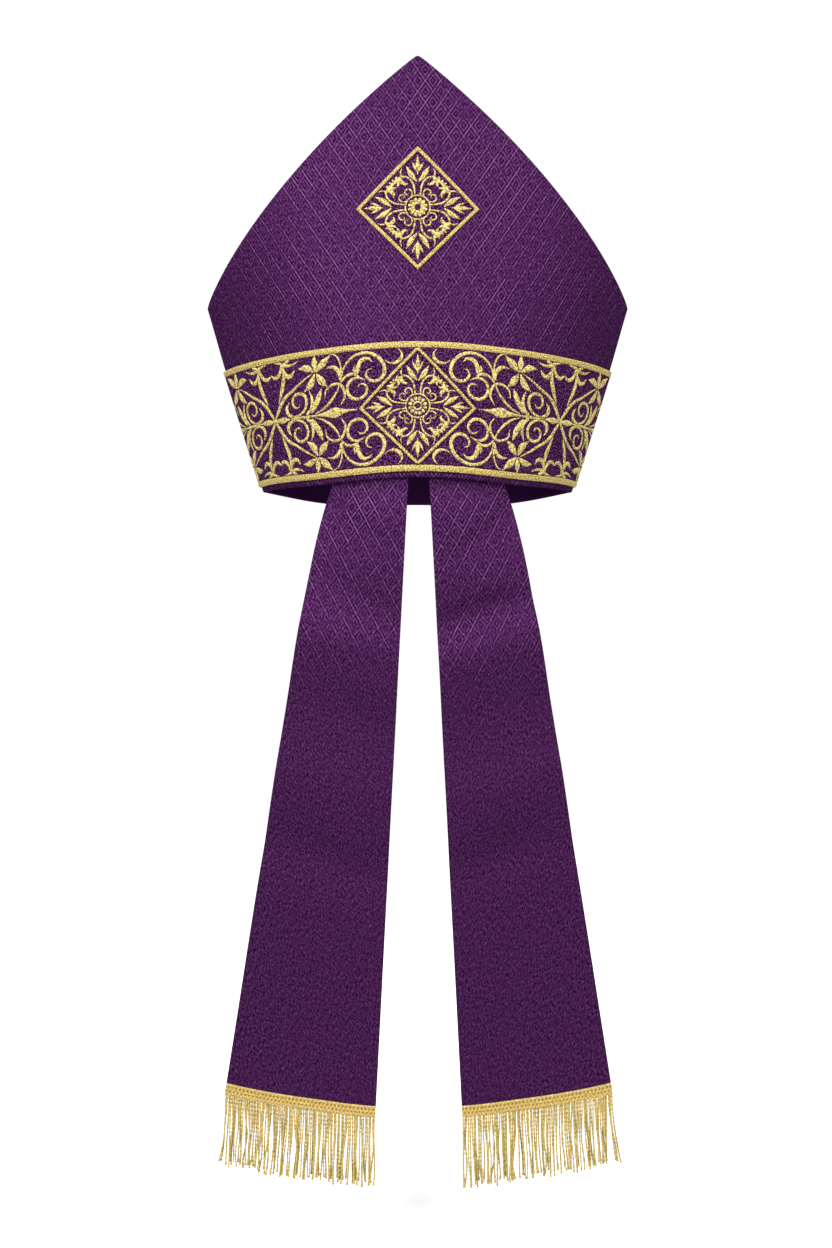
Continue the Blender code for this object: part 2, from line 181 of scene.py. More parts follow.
def add_node(tree, kind, inputs=None, stops=(), **settings):
    """Adds a shader node with its settings. inputs gives a value, a node or its output for each socket, and
    stops the places and colours of a colour ramp: sRGB, or one number for a grey."""
    made = tree.nodes.new("ShaderNode" + kind)
    for name, value in settings.items():
        setattr(made, name, value)
    for socket, value in (inputs or {}).items():
        if isinstance(value, bpy.types.Node):
            value = value.outputs[0]
        if isinstance(value, bpy.types.NodeSocket):
            tree.links.new(value, made.inputs[socket])
        else:
            made.inputs[socket].default_value = value
    for number, (place, colour) in enumerate(stops):
        ramp = made.color_ramp.elements
        stop = ramp[number] if number < 2 else ramp.new(place)
        stop.position = place
        stop.color = to_linear(colour) if isinstance(colour, str) else (colour, colour, colour, 1)
    return made


def start_material(name, roughness, specular=0.0):
    """A new material with its node tree and its Principled shader. Matt cloth has no gloss on its face."""
    made = bpy.data.materials.new(name)
    made.use_nodes = True
    shader = made.node_tree.nodes["Principled BSDF"]
    shader.inputs["Roughness"].default_value = roughness
    shader.inputs["Specular IOR Level"].default_value = specular
    return made, made.node_tree, shader


def finish_with(tree, shader, colour, height, strength, distance):
    """Joins a colour to the shader, and a height as bumps of this strength and distance in metres."""
    tree.links.new(colour.outputs[0], shader.inputs["Base Color"])
    bump = add_node(tree, "Bump", {"Height": height, "Strength": strength, "Distance": distance})
    tree.links.new(bump.outputs[0], shader.inputs["Normal"])


def make_piece(name, points, faces, uv, finishes, face_finish=None):
    """A mesh object from arrays of points, faces and one pair of cloth coordinates for each point."""
    mesh = bpy.data.meshes.new(name)
    mesh.from_pydata(np.asarray(points).tolist(), [], faces)
    corners = np.empty(len(mesh.loops), np.int32)
    mesh.loops.foreach_get("vertex_index", corners)
    layer = mesh.uv_layers.new(name="cloth")
    layer.data.foreach_set("uv", uv[corners].astype(np.float32).ravel())
    for finish in finishes:
        mesh.materials.append(finish)
    if face_finish is not None:
        mesh.polygons.foreach_set("material_index", face_finish)
    mesh.shade_smooth()
    mesh.set_sharp_from_angle(angle=np.radians(55))
    made = bpy.data.objects.new(name, mesh)
    bpy.context.scene.collection.objects.link(made)
    return made


def point_outwards(piece):
    """Turns a closed surface's faces outwards: the sum of their signed volumes is made positive."""
    mesh = piece.data
    points = np.empty(len(mesh.vertices) * 3)
    mesh.vertices.foreach_get("co", points)
    points = points.reshape(-1, 3)
    mesh.calc_loop_triangles()
    corners = np.empty(len(mesh.loop_triangles) * 3, np.int32)
    mesh.loop_triangles.foreach_get("vertices", corners)
    one, two, three = points[corners.reshape(-1, 3)].transpose(1, 0, 2)
    if np.einsum("ij,ij->", one, np.cross(two, three)) < 0:
        mesh.flip_normals()
    return piece


def quads(index):
    """The faces of a grid of point numbers: a quad between each two rows and two columns."""
    corners = [index[..., :-1, :-1], index[..., :-1, 1:], index[..., 1:, 1:], index[..., 1:, :-1]]
    return np.stack(corners, axis=-1).reshape(-1, 4)


def closed_cloth(name, near, far, uv, finishes):
    """A closed wall between two matching skins, each rows by columns of points, joined round the border.

    uv is the cloth coordinate of each point in millimetres. With two finishes, the far skin has the second.
    """
    rows, columns = near.shape[:2]
    count = rows * columns
    index = np.arange(count).reshape(rows, columns)
    skin = quads(index)
    border = np.concatenate([index[0, :-1], index[:-1, -1], index[-1, :0:-1], index[:0:-1, 0]])
    onward = np.roll(border, -1)
    rim = np.stack([onward, border, border + count, onward + count], axis=-1)
    faces = np.concatenate([skin, skin[:, ::-1] + count, rim])
    points = np.concatenate([near.reshape(-1, 3), far.reshape(-1, 3)])
    uv = np.tile(np.asarray(uv).reshape(-1, 2), (2, 1))
    finish = np.repeat([0, len(finishes) - 1, 0], [len(skin), len(skin), len(rim)])
    return point_outwards(make_piece(name, points, faces.tolist(), uv, finishes, finish))


LOZENGE_WIDTH = 9.9             # mm, of the brocade's figure
LOZENGE_HEIGHT = 14.8


def brocade_finish():
    """Silk brocade. Raised floats run in two slanting families, a shadow on both sides of each, and make
    lozenges 9.9 by 14.8 mm. Each holds a smaller lozenge and a dot. Between lies the grain.

    Silk shines in its own colour, so the finish is partly a rough metal of that colour.
    """
    finish, tree, shader = start_material("purple silk brocade", 0.6)
    shader.inputs["Metallic"].default_value = 0.4
    shader.inputs["Specular Tint"].default_value = to_linear("#3a2040")
    cloth = add_node(tree, "UVMap", uv_map="cloth")
    lozenges_per_mm = (1 / LOZENGE_WIDTH, 1 / LOZENGE_HEIGHT, 1)
    lozenge = add_node(tree, "VectorMath", {0: cloth, 1: lozenges_per_mm}, operation="MULTIPLY")
    parts = add_node(tree, "SeparateXYZ", {0: lozenge})
    falling = add_node(tree, "Math", {0: parts, 1: parts.outputs[1]}, operation="ADD")
    rising = add_node(tree, "Math", {0: parts, 1: parts.outputs[1]}, operation="SUBTRACT")
    from_falling = add_node(tree, "Math", {0: falling, 1: 0.5}, operation="PINGPONG")
    from_rising = add_node(tree, "Math", {0: rising, 1: 0.5}, operation="PINGPONG")
    inside = add_node(tree, "Math", {0: from_falling, 1: from_rising}, operation="MINIMUM")

    # Painted sheen: floats rising to the right are painted brighter on the right half, falling ones on the
    # left.
    place = add_node(tree, "TexCoord")
    where = add_node(tree, "SeparateXYZ", {0: place.outputs["Object"]})
    painted_sheen_right = add_node(tree, "MapRange", {
        "Value": where, "From Min": -0.10, "From Max": 0.10, "To Min": 0.22, "To Max": 0.78,
    })
    painted_sheen_left = add_node(tree, "Math", {0: 1.0, 1: painted_sheen_right}, operation="SUBTRACT")

    # Painted sheen on the floats: they are drawn bright at the top of the crown and of the lappets, less
    # towards the sides and further down, and come and go in patches of about 25 mm.
    height = add_node(tree, "MapRange", {"Value": where.outputs[2], "From Min": -0.40, "From Max": 0.28})
    painted_float_sheen = add_node(tree, "ValToRGB", {"Fac": height}, stops=(
        (0.0, 0.06), (0.38, 0.14), (0.45, 0.60), (0.56, 0.80), (0.72, 0.76), (0.84, 0.76), (0.97, 1.0)))
    sideways = add_node(tree, "Math", {0: where}, operation="ABSOLUTE")
    sideways = add_node(tree, "MapRange", {
        "Value": sideways, "From Min": 0.05, "From Max": 0.12, "To Min": 1.0, "To Max": 0.60,
    })
    sheen_patches = add_node(tree, "TexNoise", {"Vector": place.outputs["Object"], "Scale": 40.0, "Detail": 1.0})
    sheen_patches = add_node(tree, "Math", {0: sheen_patches, 1: 3.2, 2: -0.15}, operation="MULTIPLY_ADD")
    painted_float_sheen = add_node(tree, "Math", {0: painted_float_sheen, 1: sideways}, operation="MULTIPLY")
    painted_float_sheen = add_node(tree, "Math", {0: painted_float_sheen, 1: sheen_patches}, operation="MULTIPLY")

    # The grain is short dashes about 0.5 mm wide, drawn 0.8 mm wide so that they show.
    along = add_node(tree, "CombineXYZ", {0: falling, 1: rising})
    tone = add_node(tree, "Value")
    tone.outputs[0].default_value = 0.47
    families = (
        # share of the painted sheen, distance from the float, scale of the dashes across and along it
        (painted_sheen_left, from_falling, (10.6, 4.2, 1)),
        (painted_sheen_right, from_rising, (4.2, 10.6, 1)),
    )
    for painted_sheen_share, distance, scale in families:
        finer = add_node(tree, "VectorMath", {0: along, 1: scale}, operation="MULTIPLY")
        dashes = add_node(tree, "TexNoise", {"Vector": finer, "Scale": 1.0, "Detail": 1.0, "Roughness": 0.6})
        broken = add_node(tree, "TexNoise", {"Vector": along, "Scale": 0.8, "Detail": 2.0})
        grain = add_node(tree, "Math", {0: dashes, 1: 0.5}, operation="SUBTRACT")
        # Bright float, its shadow, and the ground from 1.4 mm off.
        profile = add_node(tree, "ValToRGB", {"Fac": distance}, stops=(
            (0.0, 0.90), (0.04, 0.72), (0.085, 0.02), (0.13, 0.12), (0.18, 0.28), (0.5, 0.30)))
        strength = add_node(tree, "Math", {0: broken, 1: 4.5, 2: -1.25},
                            operation="MULTIPLY_ADD", use_clamp=True)
        strength = add_node(tree, "Math", {0: strength, 1: painted_float_sheen}, operation="MULTIPLY")
        float_light = add_node(tree, "Math", {0: profile, 1: 0.27}, operation="SUBTRACT")
        float_light = add_node(tree, "Math", {0: float_light, 1: strength}, operation="MULTIPLY")
        light = add_node(tree, "Math", {0: grain, 1: 2.0, 2: float_light}, operation="MULTIPLY_ADD")
        tone = add_node(tree, "Math", {0: light, 1: painted_sheen_share, 2: tone}, operation="MULTIPLY_ADD")
    ring = add_node(tree, "ValToRGB", {"Fac": inside}, stops=(
        (0.0, 0.5), (0.17, 0.40), (0.25, 0.92), (0.33, 0.20), (0.42, 0.30), (0.5, 1.0)))
    ring = add_node(tree, "Math", {0: ring, 1: 0.5}, operation="SUBTRACT")
    on_crown = add_node(tree, "MapRange", {
        "Value": where.outputs[2], "From Min": -0.06, "From Max": 0.08, "To Min": 0.9, "To Max": 0.95,
    })
    ring = add_node(tree, "Math", {0: ring, 1: on_crown}, operation="MULTIPLY")
    # The smaller lozenge and the dot take the painted sheen of the nearer family of floats.
    nearer = add_node(tree, "Math", {0: from_rising, 1: from_falling}, operation="LESS_THAN")
    more_right = add_node(tree, "Math", {0: painted_sheen_right, 1: painted_sheen_left}, operation="SUBTRACT")
    painted_sheen_share = add_node(tree, "Math", {0: nearer, 1: more_right, 2: painted_sheen_left},
                           operation="MULTIPLY_ADD")
    ring = add_node(tree, "Math", {0: ring, 1: painted_sheen_share}, operation="MULTIPLY")
    tone = add_node(tree, "Math", {0: ring, 1: painted_float_sheen, 2: tone}, operation="MULTIPLY_ADD")
    colour = add_node(tree, "ValToRGB", {"Fac": tone}, stops=(
        (0.0, "#100217"), (0.27, "#1c0523"), (0.5, "#311436"), (0.75, "#402343"), (1.0, "#553659")))
    finish_with(tree, shader, colour, tone, 0.5, 0.0002)
    return finish


def lining_finish():
    """Plain-woven acetate lining: an even matt purple with a faint rib, which shows inside and behind."""
    finish, tree, shader = start_material("purple lining cloth", 0.6)
    cloth = add_node(tree, "UVMap", uv_map="cloth")
    # The rib is about 0.25 mm, drawn at 0.7 mm so that it shows.
    rib = add_node(tree, "TexWave", {
        "Vector": cloth, "Scale": 0.45, "Distortion": 0.8, "Detail": 1.0,
    }, wave_type="BANDS", bands_direction="Y")
    grain = add_node(tree, "TexNoise", {"Vector": cloth, "Scale": 1.1, "Detail": 2.0})
    cloudy = add_node(tree, "TexNoise", {"Vector": cloth, "Scale": 0.02, "Detail": 1.0})
    cloudy = add_node(tree, "Math", {0: cloudy, 1: 0.25}, operation="MULTIPLY")
    tone = add_node(tree, "Math", {0: grain, 1: 0.8, 2: cloudy}, operation="MULTIPLY_ADD")
    colour = add_node(tree, "ValToRGB", {"Fac": tone}, stops=((0.30, "#1d0625"), (0.66, "#35163f")))
    finish_with(tree, shader, colour, rib, 0.35, 0.00012)
    return finish


brocade = brocade_finish()
lining = lining_finish()

tip_columns = PEAK_COLUMN_STEP * np.arange(-2, 3)
panel_across = np.sort(np.concatenate([lines_with_edges(-1, 1, PANEL_COLUMNS, 0.007), tip_columns]))
panel_share = lines_with_edges(0, 1, PANEL_ROWS, 0.006)[:, None]
panel_height = panel_share * top_height(panel_across)
panel_length = length_across(panel_across, panel_height)
seam_length = length_across(1, panel_height)
from_seam = seam_length - np.abs(panel_length)
from_edge = np.minimum(panel_height, panel_height[-1] - panel_height)
fall_back = np.maximum(turned_in(from_edge, EDGE_RADIUS), turned_in(from_seam, SEAM_RADIUS))
panel_cloth = together(panel_length, panel_height) / MM

for side_name, side in SIDES:
    panel = closed_cloth(
        f"{side_name}_panel_cloth",
        panel_point(side, panel_across, panel_height, -fall_back),
        panel_point(side, panel_across, panel_height, fall_back - PANEL_WALL),
        panel_cloth, [brocade, lining])
    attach(panel, "root")
    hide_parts(f"{side_name}_panel")


# ================================================================ the gusset
# A lens-shaped piece of soft cloth, sewn inside both upper edges. It folds down in a V between the panels
# and lets the mitre be pressed flat.

GUSSET_INSET = 0.0015
GUSSET_DROP = 0.0026            # its thickness, measured straight down through the slope
GUSSET_VALLEY = 0.1455
GUSSET_FOLD = 0.12
GUSSET_REACH = 0.985
GUSSET_PUCKER = 0.0011          # depth of the soft creases that run down from the sewn edges
GUSSET_PUCKER_PITCH = 0.034
GUSSET_COLUMNS = 116
GUSSET_ROWS = 60

gusset_across = lines_with_edges(-GUSSET_REACH, GUSSET_REACH, GUSSET_COLUMNS, 0.008)
gusset_share = lines_with_edges(-1, 1, GUSSET_ROWS, 0.012)[:, None]
fold = (np.hypot(gusset_share, GUSSET_FOLD) - GUSSET_FOLD) / (np.hypot(1, GUSSET_FOLD) - GUSSET_FOLD)


def gusset_skin(drop):
    """The cloth at this drop below its upper face.

    Each column runs from the back edge to the front edge. Its height is the valley's height plus the
    edge's rise over it times the fold, a hyperbola. Creases are sine waves that die away at the edges.
    """
    height = top_height(gusset_across) - GUSSET_INSET - drop
    border = panel_point(FRONT, gusset_across, height, -(PANEL_WALL + GAP))
    ends = height[0] - GUSSET_INSET
    towards_end = (border[:, 0] / border[-1, 0]) ** 2
    valley = ends + (GUSSET_VALLEY - drop - ends) * (1 - towards_end)
    x, depth = border[:, 0], border[:, 1]
    z = valley + fold * (border[:, 2] - valley)
    bent = 0.35 * np.sin(3 * gusset_share)
    crease = np.sin(2 * np.pi * (x / GUSSET_PUCKER_PITCH + bent) + np.sign(gusset_share) * 1.1)
    slack = GUSSET_PUCKER * (1 - gusset_share ** 6) * smooth_step(depth / 0.03) * crease
    return together(x, gusset_share * depth, z + slack * smooth_step(np.abs(gusset_share) / 0.25))


gusset_near, gusset_far = gusset_skin(0), gusset_skin(GUSSET_DROP)
gusset_step = np.linalg.norm(np.diff(gusset_near, axis=0), axis=-1)
gusset_run = np.concatenate([np.zeros((1, len(gusset_across))), np.cumsum(gusset_step, axis=0)])
gusset_cloth = together(gusset_near[..., 0], gusset_run - gusset_run[-1] / 2) / MM
gusset = closed_cloth("gusset_cloth", gusset_near, gusset_far, gusset_cloth, [lining])
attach(gusset, "root")
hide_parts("gusset")


# ================================================================ the band
# A strip of darker cloth round the foot of the mitre, the ground for the embroidery. It is laid on the
# brocade, and its raw edges lie under the two braids.

BAND = (0.0079, 0.0822)
BAND_THICKNESS = 0.0010
BAND_MIDDLE = sum(BAND) / 2
BAND_COLUMNS = 150
BAND_ROWS = 26


def strip_on_panel(name, side, height, lift_near, lift_far, finish, columns):
    """A level strip from seam to seam: near and far skins at two lifts above the brocade.

    height and the lifts are columns of values, one for each row of the strip.
    """
    across = lines_with_edges(-1, 1, columns, 0.0015)
    near = panel_point(side, across, height, lift_near)
    far = panel_point(side, across, height, lift_far)
    cloth = together(length_across(across, height), height) / MM
    return closed_cloth(name, near, far, cloth, [finish])


def band_cloth_finish():
    """Plain silk-faced cloth, closely covered with purple stitching: a dark ground with pale grains."""
    finish, tree, shader = start_material("purple band cloth", 0.6)
    cloth = add_node(tree, "UVMap", uv_map="cloth")
    # Stitches about 0.4 mm long, drawn at 1.2 mm so that they show.
    grain = add_node(tree, "TexNoise", {
        "Vector": cloth, "Scale": 0.85, "Detail": 2.0, "Roughness": 0.7, "Distortion": 0.4,
    })
    colour = add_node(tree, "ValToRGB", {"Fac": grain}, stops=(
        (0.37, "#08010a"), (0.45, "#1a0619"), (0.51, "#2d1030"), (0.57, "#3f1d41"), (0.67, "#5c3860")))
    finish_with(tree, shader, colour, grain, 0.7, 0.0003)
    return finish


band_cloth = band_cloth_finish()
band_height = np.linspace(*BAND, BAND_ROWS)[:, None]
for side_name, side in SIDES:
    band = strip_on_panel(f"band_{side_name}_cloth", side, band_height,
                          GAP + BAND_THICKNESS, GAP, band_cloth, BAND_COLUMNS)
    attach(band, "root")
    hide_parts(f"band_{side_name}")


# ================================================================ the braids
# Four lengths of flat metallic braid, woven in a herringbone, sewn over the band's upper and lower edge.

BRAIDS = (("lower", (0.0036, 0.0076)), ("upper", (0.0825, 0.0865)))
BRAID_THICKNESS = 0.0014
HERRINGBONE = 1.5               # mm from rib to rib, drawn coarser than real so that it shows
HERRINGBONE_RELIEF = 0.00009
BRAID_COLUMNS = 840


def gold_weave_finish(name, dark, middle, pale, scale):
    """Metal-wrapped yarn: dull gold with bright grains where single threads catch the light and brown
    gaps between them. scale is grains in a millimetre, drawn coarser than the yarn so that they show."""
    finish, tree, shader = start_material(name, 0.45, 0.12)
    cloth = add_node(tree, "UVMap", uv_map="cloth")
    grain = add_node(tree, "TexNoise", {"Vector": cloth, "Scale": scale, "Detail": 2.0, "Roughness": 0.7})
    colour = add_node(tree, "ValToRGB", {"Fac": grain}, stops=(
        (0.40, dark), (0.49, middle), (0.59, pale)))
    finish_with(tree, shader, colour, grain, 0.5, 0.0002)
    return finish


gold_braid = gold_weave_finish("gold braid", "#4a361b", "#84713b", "#b0a05e", 1.15)

braid_across = np.concatenate([[-1, -0.94], np.linspace(-0.82, 0.82, 7), [0.94, 1]])[:, None]
braid_dome = np.sqrt(1 - 0.97 * braid_across ** 2)
braid_columns = lines_with_edges(-1, 1, BRAID_COLUMNS, 0.0015)
for side_name, side in SIDES:
    for braid_name, heights in BRAIDS:
        height = heights[0] + (heights[1] - heights[0]) * (braid_across + 1) / 2
        length = length_across(braid_columns, height) / MM
        rib = np.sin(2 * np.pi * (length / HERRINGBONE + 0.9 * np.abs(braid_across)))
        lift = GAP + BRAID_THICKNESS * (0.45 + 0.5 * braid_dome) + HERRINGBONE_RELIEF * rib * braid_dome
        braid = strip_on_panel(f"{braid_name}_braid_{side_name}_weave", side, height,
                               lift, GAP, gold_braid, BRAID_COLUMNS)
        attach(braid, "root")
        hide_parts(f"{braid_name}_braid_{side_name}")


# ================================================================ the diamonds
# A diamond of flat gold braid couched down on the band at back and front, and a larger one on the crown,
# which frames a patch of the band's cloth.

BAND_DIAMOND = (0.0371, 0.0381)              # half its width and half its height
BAND_DIAMOND_RIBBON = 0.0018
BAND_DIAMOND_SHOWN = 0.0370     # half the height that shows, with its tips tucked under the braids
CROWN_DIAMOND = (0.0396, 0.0407)
CROWN_DIAMOND_RIBBON = 0.0022
CROWN_DIAMOND_HEIGHT = 0.1738
DIAMOND_THICKNESS = 0.0009
TWILL = 1.4                     # mm from rib to rib of the diamonds' braid
TWILL_RELIEF = 0.00005
PATCH_THICKNESS = 0.0007
PATCH_STEPS = 40
RIBBON_STEPS = 60               # along each side of a diamond
SECTION = np.array([-1, -0.93, -0.72, -0.38, 0, 0.38, 0.72, 0.93, 1])   # places across a domed strip


def across_at_length(length, height):
    """The place across the panel at this distance along it from the middle, by Newton's steps."""
    across = length / half_width(height)
    for _ in range(6):
        short = length - length_across(across, height)
        across = np.clip(across + short / np.hypot(*section_slope(across, height)), -1, 1)
    return across


def on_cloth(side, flat, middle, out):
    """Points given flat, as distance along the cloth and height over the middle, laid on a panel."""
    height = middle + flat[..., 1]
    return panel_point(side, across_at_length(flat[..., 0], height), height, out)


def drawn_in(half_size, inset):
    """Half sizes of the diamond that lies inside by this inset: the sizes less the inset, scaled by the
    side's length over their product."""
    size = np.array(half_size)
    inset = np.asarray(inset)[..., None]
    return size * (1 - inset * np.hypot(*size) / size.prod())


def diamond_frame(name, side, middle, half_size, ribbon, shown, under):
    """A ribbon with a domed section carried round a diamond, whose upper and lower tip end at shown.

    A place across the ribbon is a smaller diamond inside the first, so the corners come out mitred. The
    grid of points closes on itself both ways, like a ring's skin.
    """
    corners = np.array([(1, 0), (0, 1), (-1, 0), (0, -1)], float)
    share = np.linspace(0, 1, RIBBON_STEPS, endpoint=False)[:, None]
    outline = np.concatenate([corners[k] + (corners[(k + 1) % 4] - corners[k]) * share for k in range(4)])
    flat = outline[:, None, :] * drawn_in(half_size, ribbon * (SECTION + 1) / 2)
    flat[..., 1] = np.clip(flat[..., 1], -shown, shown)
    along = np.arange(4 * RIBBON_STEPS)[:, None] * np.hypot(*half_size) / RIBBON_STEPS
    twill = TWILL_RELIEF * np.sin(2 * np.pi * (along / MM / TWILL + 0.6 * SECTION))
    lift = under + DIAMOND_THICKNESS * (0.35 + 0.65 * np.sqrt(1 - 0.96 * SECTION ** 2)) + twill
    over = on_cloth(side, flat, middle, lift)
    below = on_cloth(side, flat[:, ::-1], middle, under + np.zeros((1, len(SECTION))))
    points = np.concatenate([over, below], axis=1)
    across = np.concatenate([SECTION, SECTION[::-1]]) * ribbon / 2
    uv = together(along, across) / MM
    index = np.arange(across.size * len(along)).reshape(points.shape[:2])
    faces = quads(np.pad(index, ((0, 1), (0, 1)), mode="wrap")).tolist()
    return point_outwards(make_piece(name, points.reshape(-1, 3), faces, uv.reshape(-1, 2), [gold_braid]))


for side_name, side in SIDES:
    patch_share = np.linspace(-1, 1, PATCH_STEPS) / 2
    one, two = np.meshgrid(patch_share, patch_share)
    flat = drawn_in(CROWN_DIAMOND, CROWN_DIAMOND_RIBBON + GAP) * together(one + two, one - two)
    patch = closed_cloth(
        f"crown_patch_{side_name}_cloth",
        on_cloth(side, flat, CROWN_DIAMOND_HEIGHT, GAP + PATCH_THICKNESS),
        on_cloth(side, flat, CROWN_DIAMOND_HEIGHT, GAP),
        flat / MM, [band_cloth])
    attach(patch, "root")
    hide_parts(f"crown_patch_{side_name}")
    frames = (
        ("band", BAND_MIDDLE, BAND_DIAMOND, BAND_DIAMOND_RIBBON, BAND_DIAMOND_SHOWN,
         2 * GAP + BAND_THICKNESS),
        ("crown", CROWN_DIAMOND_HEIGHT, CROWN_DIAMOND, CROWN_DIAMOND_RIBBON, CROWN_DIAMOND[1], GAP),
    )
    for place, *shape, under in frames:
        ribbon_piece = diamond_frame(f"{place}_diamond_{side_name}_weave", side, *shape, under)
        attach(ribbon_piece, "root")
        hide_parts(f"{place}_diamond_{side_name}")


# ================================================================ the embroidery
# Scrollwork in padded satin stitch, in gold thread: spirals, leaves and flowers on the band, and a rosette
# with four palmettes in each diamond. It is charted flat in millimetres, then laid on the cloth.

STITCH_STEP = 0.75              # mm between the sections of a stroke
STROKE_SINK = 0.15              # mm by which a stroke's edges go into the cloth
STROKE_RISE = 0.22              # mm that the thinnest stroke stands out
STROKE_PADDING = 0.17           # mm more for each mm of width
STROKE_TALLEST = 0.75           # mm
DRAWN_TIGHT = 0.94              # share of its charted width that a stroke keeps when its thread is pulled
CROSSING = 105.3                # mm from the middle to the crossing flower, where the pattern turns back
TURNED_BACK_STRETCH = 1.13      # how much longer the pattern is drawn beyond the crossing
SAG = 0.9                       # mm by which the design's middle hangs lower beyond the diamond
SAG_START = 37                  # mm from the middle
SAG_RUN = 30                    # mm over which it sinks
BAND_HALF_HEIGHT = 37.0         # mm
SEAM_MARGIN = 0.7               # mm left free beside the side seams
BEYOND_SEAM = 150               # mm from the middle; what starts past this would be cut off whole
BAND_MEDALLION_SCALE = 0.955


def read_smoothly(places, values, where):
    """Values between the given places, along cubic curves whose slopes are the central differences."""
    places, values = np.asarray(places, float), np.asarray(values, float)
    slopes = np.gradient(values, places, axis=0)
    where = np.clip(where, places[0], places[-1])
    row = np.clip(np.searchsorted(places, where, side="right") - 1, 0, len(places) - 2)
    shape = np.shape(where) + (1,) * (values.ndim - 1)
    length = (places[row + 1] - places[row]).reshape(shape)
    share = ((where - places[row]).reshape(shape)) / length
    bent = values[row] * (1 + 2 * share) * (1 - share) ** 2 + values[row + 1] * share ** 2 * (3 - 2 * share)
    turned = slopes[row] * share * (1 - share) ** 2 - slopes[row + 1] * share ** 2 * (1 - share)
    return bent + length * turned


def stroke(points, widths):
    """One satin-stitched stroke, flat: sections of a dome carried along a smooth line.

    The line passes through the points. The widths are spread evenly along it. Half the width is drawn in
    to nothing at both ends along a circle, so that a wide end is round. A wider stroke stands higher.
    Gives the points as rows of sections, and their cloth coordinates: mm along, and share of the width.
    """
    points = np.asarray(points, float)
    chords = np.concatenate([[0], np.cumsum(np.linalg.norm(np.diff(points, axis=0), axis=1))])
    fine = read_smoothly(chords, points, np.linspace(0, chords[-1], 30 * len(points)))
    run = np.concatenate([[0], np.cumsum(np.linalg.norm(np.diff(fine, axis=0), axis=1))])
    ends = np.array([0.02, 0.15, 0.4])
    inside = np.linspace(0.8, run[-1] - 0.8, max(3, int(run[-1] / STITCH_STEP)))
    along = np.concatenate([ends, inside, run[-1] - ends[::-1]])
    line = np.stack([np.interp(along, run, fine[:, axis]) for axis in (0, 1)], axis=1)
    heading = np.gradient(line, along, axis=0)
    heading /= np.linalg.norm(heading, axis=1, keepdims=True)
    sideways = together(-heading[:, 1], heading[:, 0])
    width = DRAWN_TIGHT * read_smoothly(np.linspace(0, run[-1], len(widths)), widths, along)
    width = np.maximum(width, 0.12)
    from_end = np.clip(np.minimum(along, run[-1] - along) / (width / 2), 0, 1)
    half = width / 2 * np.sqrt(1 - 0.97 * (1 - from_end) ** 2)
    lift = np.minimum(STROKE_RISE + STROKE_PADDING * width, STROKE_TALLEST) * np.sqrt(half / (width / 2))
    flat = line[:, None] + sideways[:, None] * (half[:, None] * SECTION)[..., None]
    dome = np.sqrt(1 - SECTION ** 2)
    rise = -STROKE_SINK + (lift[:, None] + STROKE_SINK) * dome
    section = np.concatenate([flat, rise[..., None]], axis=-1)
    return section, together(along[:, None], SECTION)


def mirrored(strokes, across=1, up=1, about=0.0):
    """The same strokes with their signs changed across and up, about an upright line."""
    turn = np.array([across, up], float)
    shift = np.array([about * (1 - across), 0])
    return [(np.asarray(points, float) * turn + shift, widths) for points, widths in strokes]


def embroider(name, strokes, thread, seam=None):
    """Every stroke of a design as one mesh, still flat, in millimetres, cut off beyond a slanted seam.

    Each stroke is a tube: rows of sections, each closed below by a flat base, with both ends capped.
    """
    points, uvs, faces, count = [], [], [], 0
    for line, widths in strokes:
        section, uv = stroke(line, widths)
        rows, columns = section.shape[:2]
        index = count + np.arange(rows * columns).reshape(rows, columns)
        skin = quads(np.pad(index, ((0, 0), (0, 1)), mode="wrap"))
        faces += skin.tolist() + [index[0, ::-1].tolist(), index[-1].tolist()]
        points.append(section.reshape(-1, 3))
        uvs.append(uv.reshape(-1, 2))
        count += rows * columns
    piece = make_piece(name, np.concatenate(points), faces, np.concatenate(uvs), [thread])
    if seam is not None:
        shape = bmesh.new()
        shape.from_mesh(piece.data)
        for sign in (-1, 1):
            everything = shape.verts[:] + shape.edges[:] + shape.faces[:]
            (low_x, low_y), (high_x, high_y) = seam
            normal = (sign * (high_y - low_y), low_x - high_x, 0)
            cut = bmesh.ops.bisect_plane(shape, geom=everything, plane_co=(sign * low_x, low_y, 0),
                                         plane_no=normal, clear_outer=True)
            edges = [part for part in cut["geom_cut"] if isinstance(part, bmesh.types.BMEdge)]
            bmesh.ops.holes_fill(shape, edges=edges, sides=0)
        shape.to_mesh(piece.data)
        shape.free()
    return piece


def lay_on_cloth(piece, side, middle, under):
    """Moves a flat piece onto a panel: its third coordinate becomes the height above the cloth."""
    points = np.empty(len(piece.data.vertices) * 3)
    piece.data.vertices.foreach_get("co", points)
    points = points.reshape(-1, 3) * MM
    laid = on_cloth(side, points[:, :2], middle, under + points[:, 2])
    piece.data.vertices.foreach_set("co", laid.ravel())
    piece.data.update()
    return point_outwards(piece)


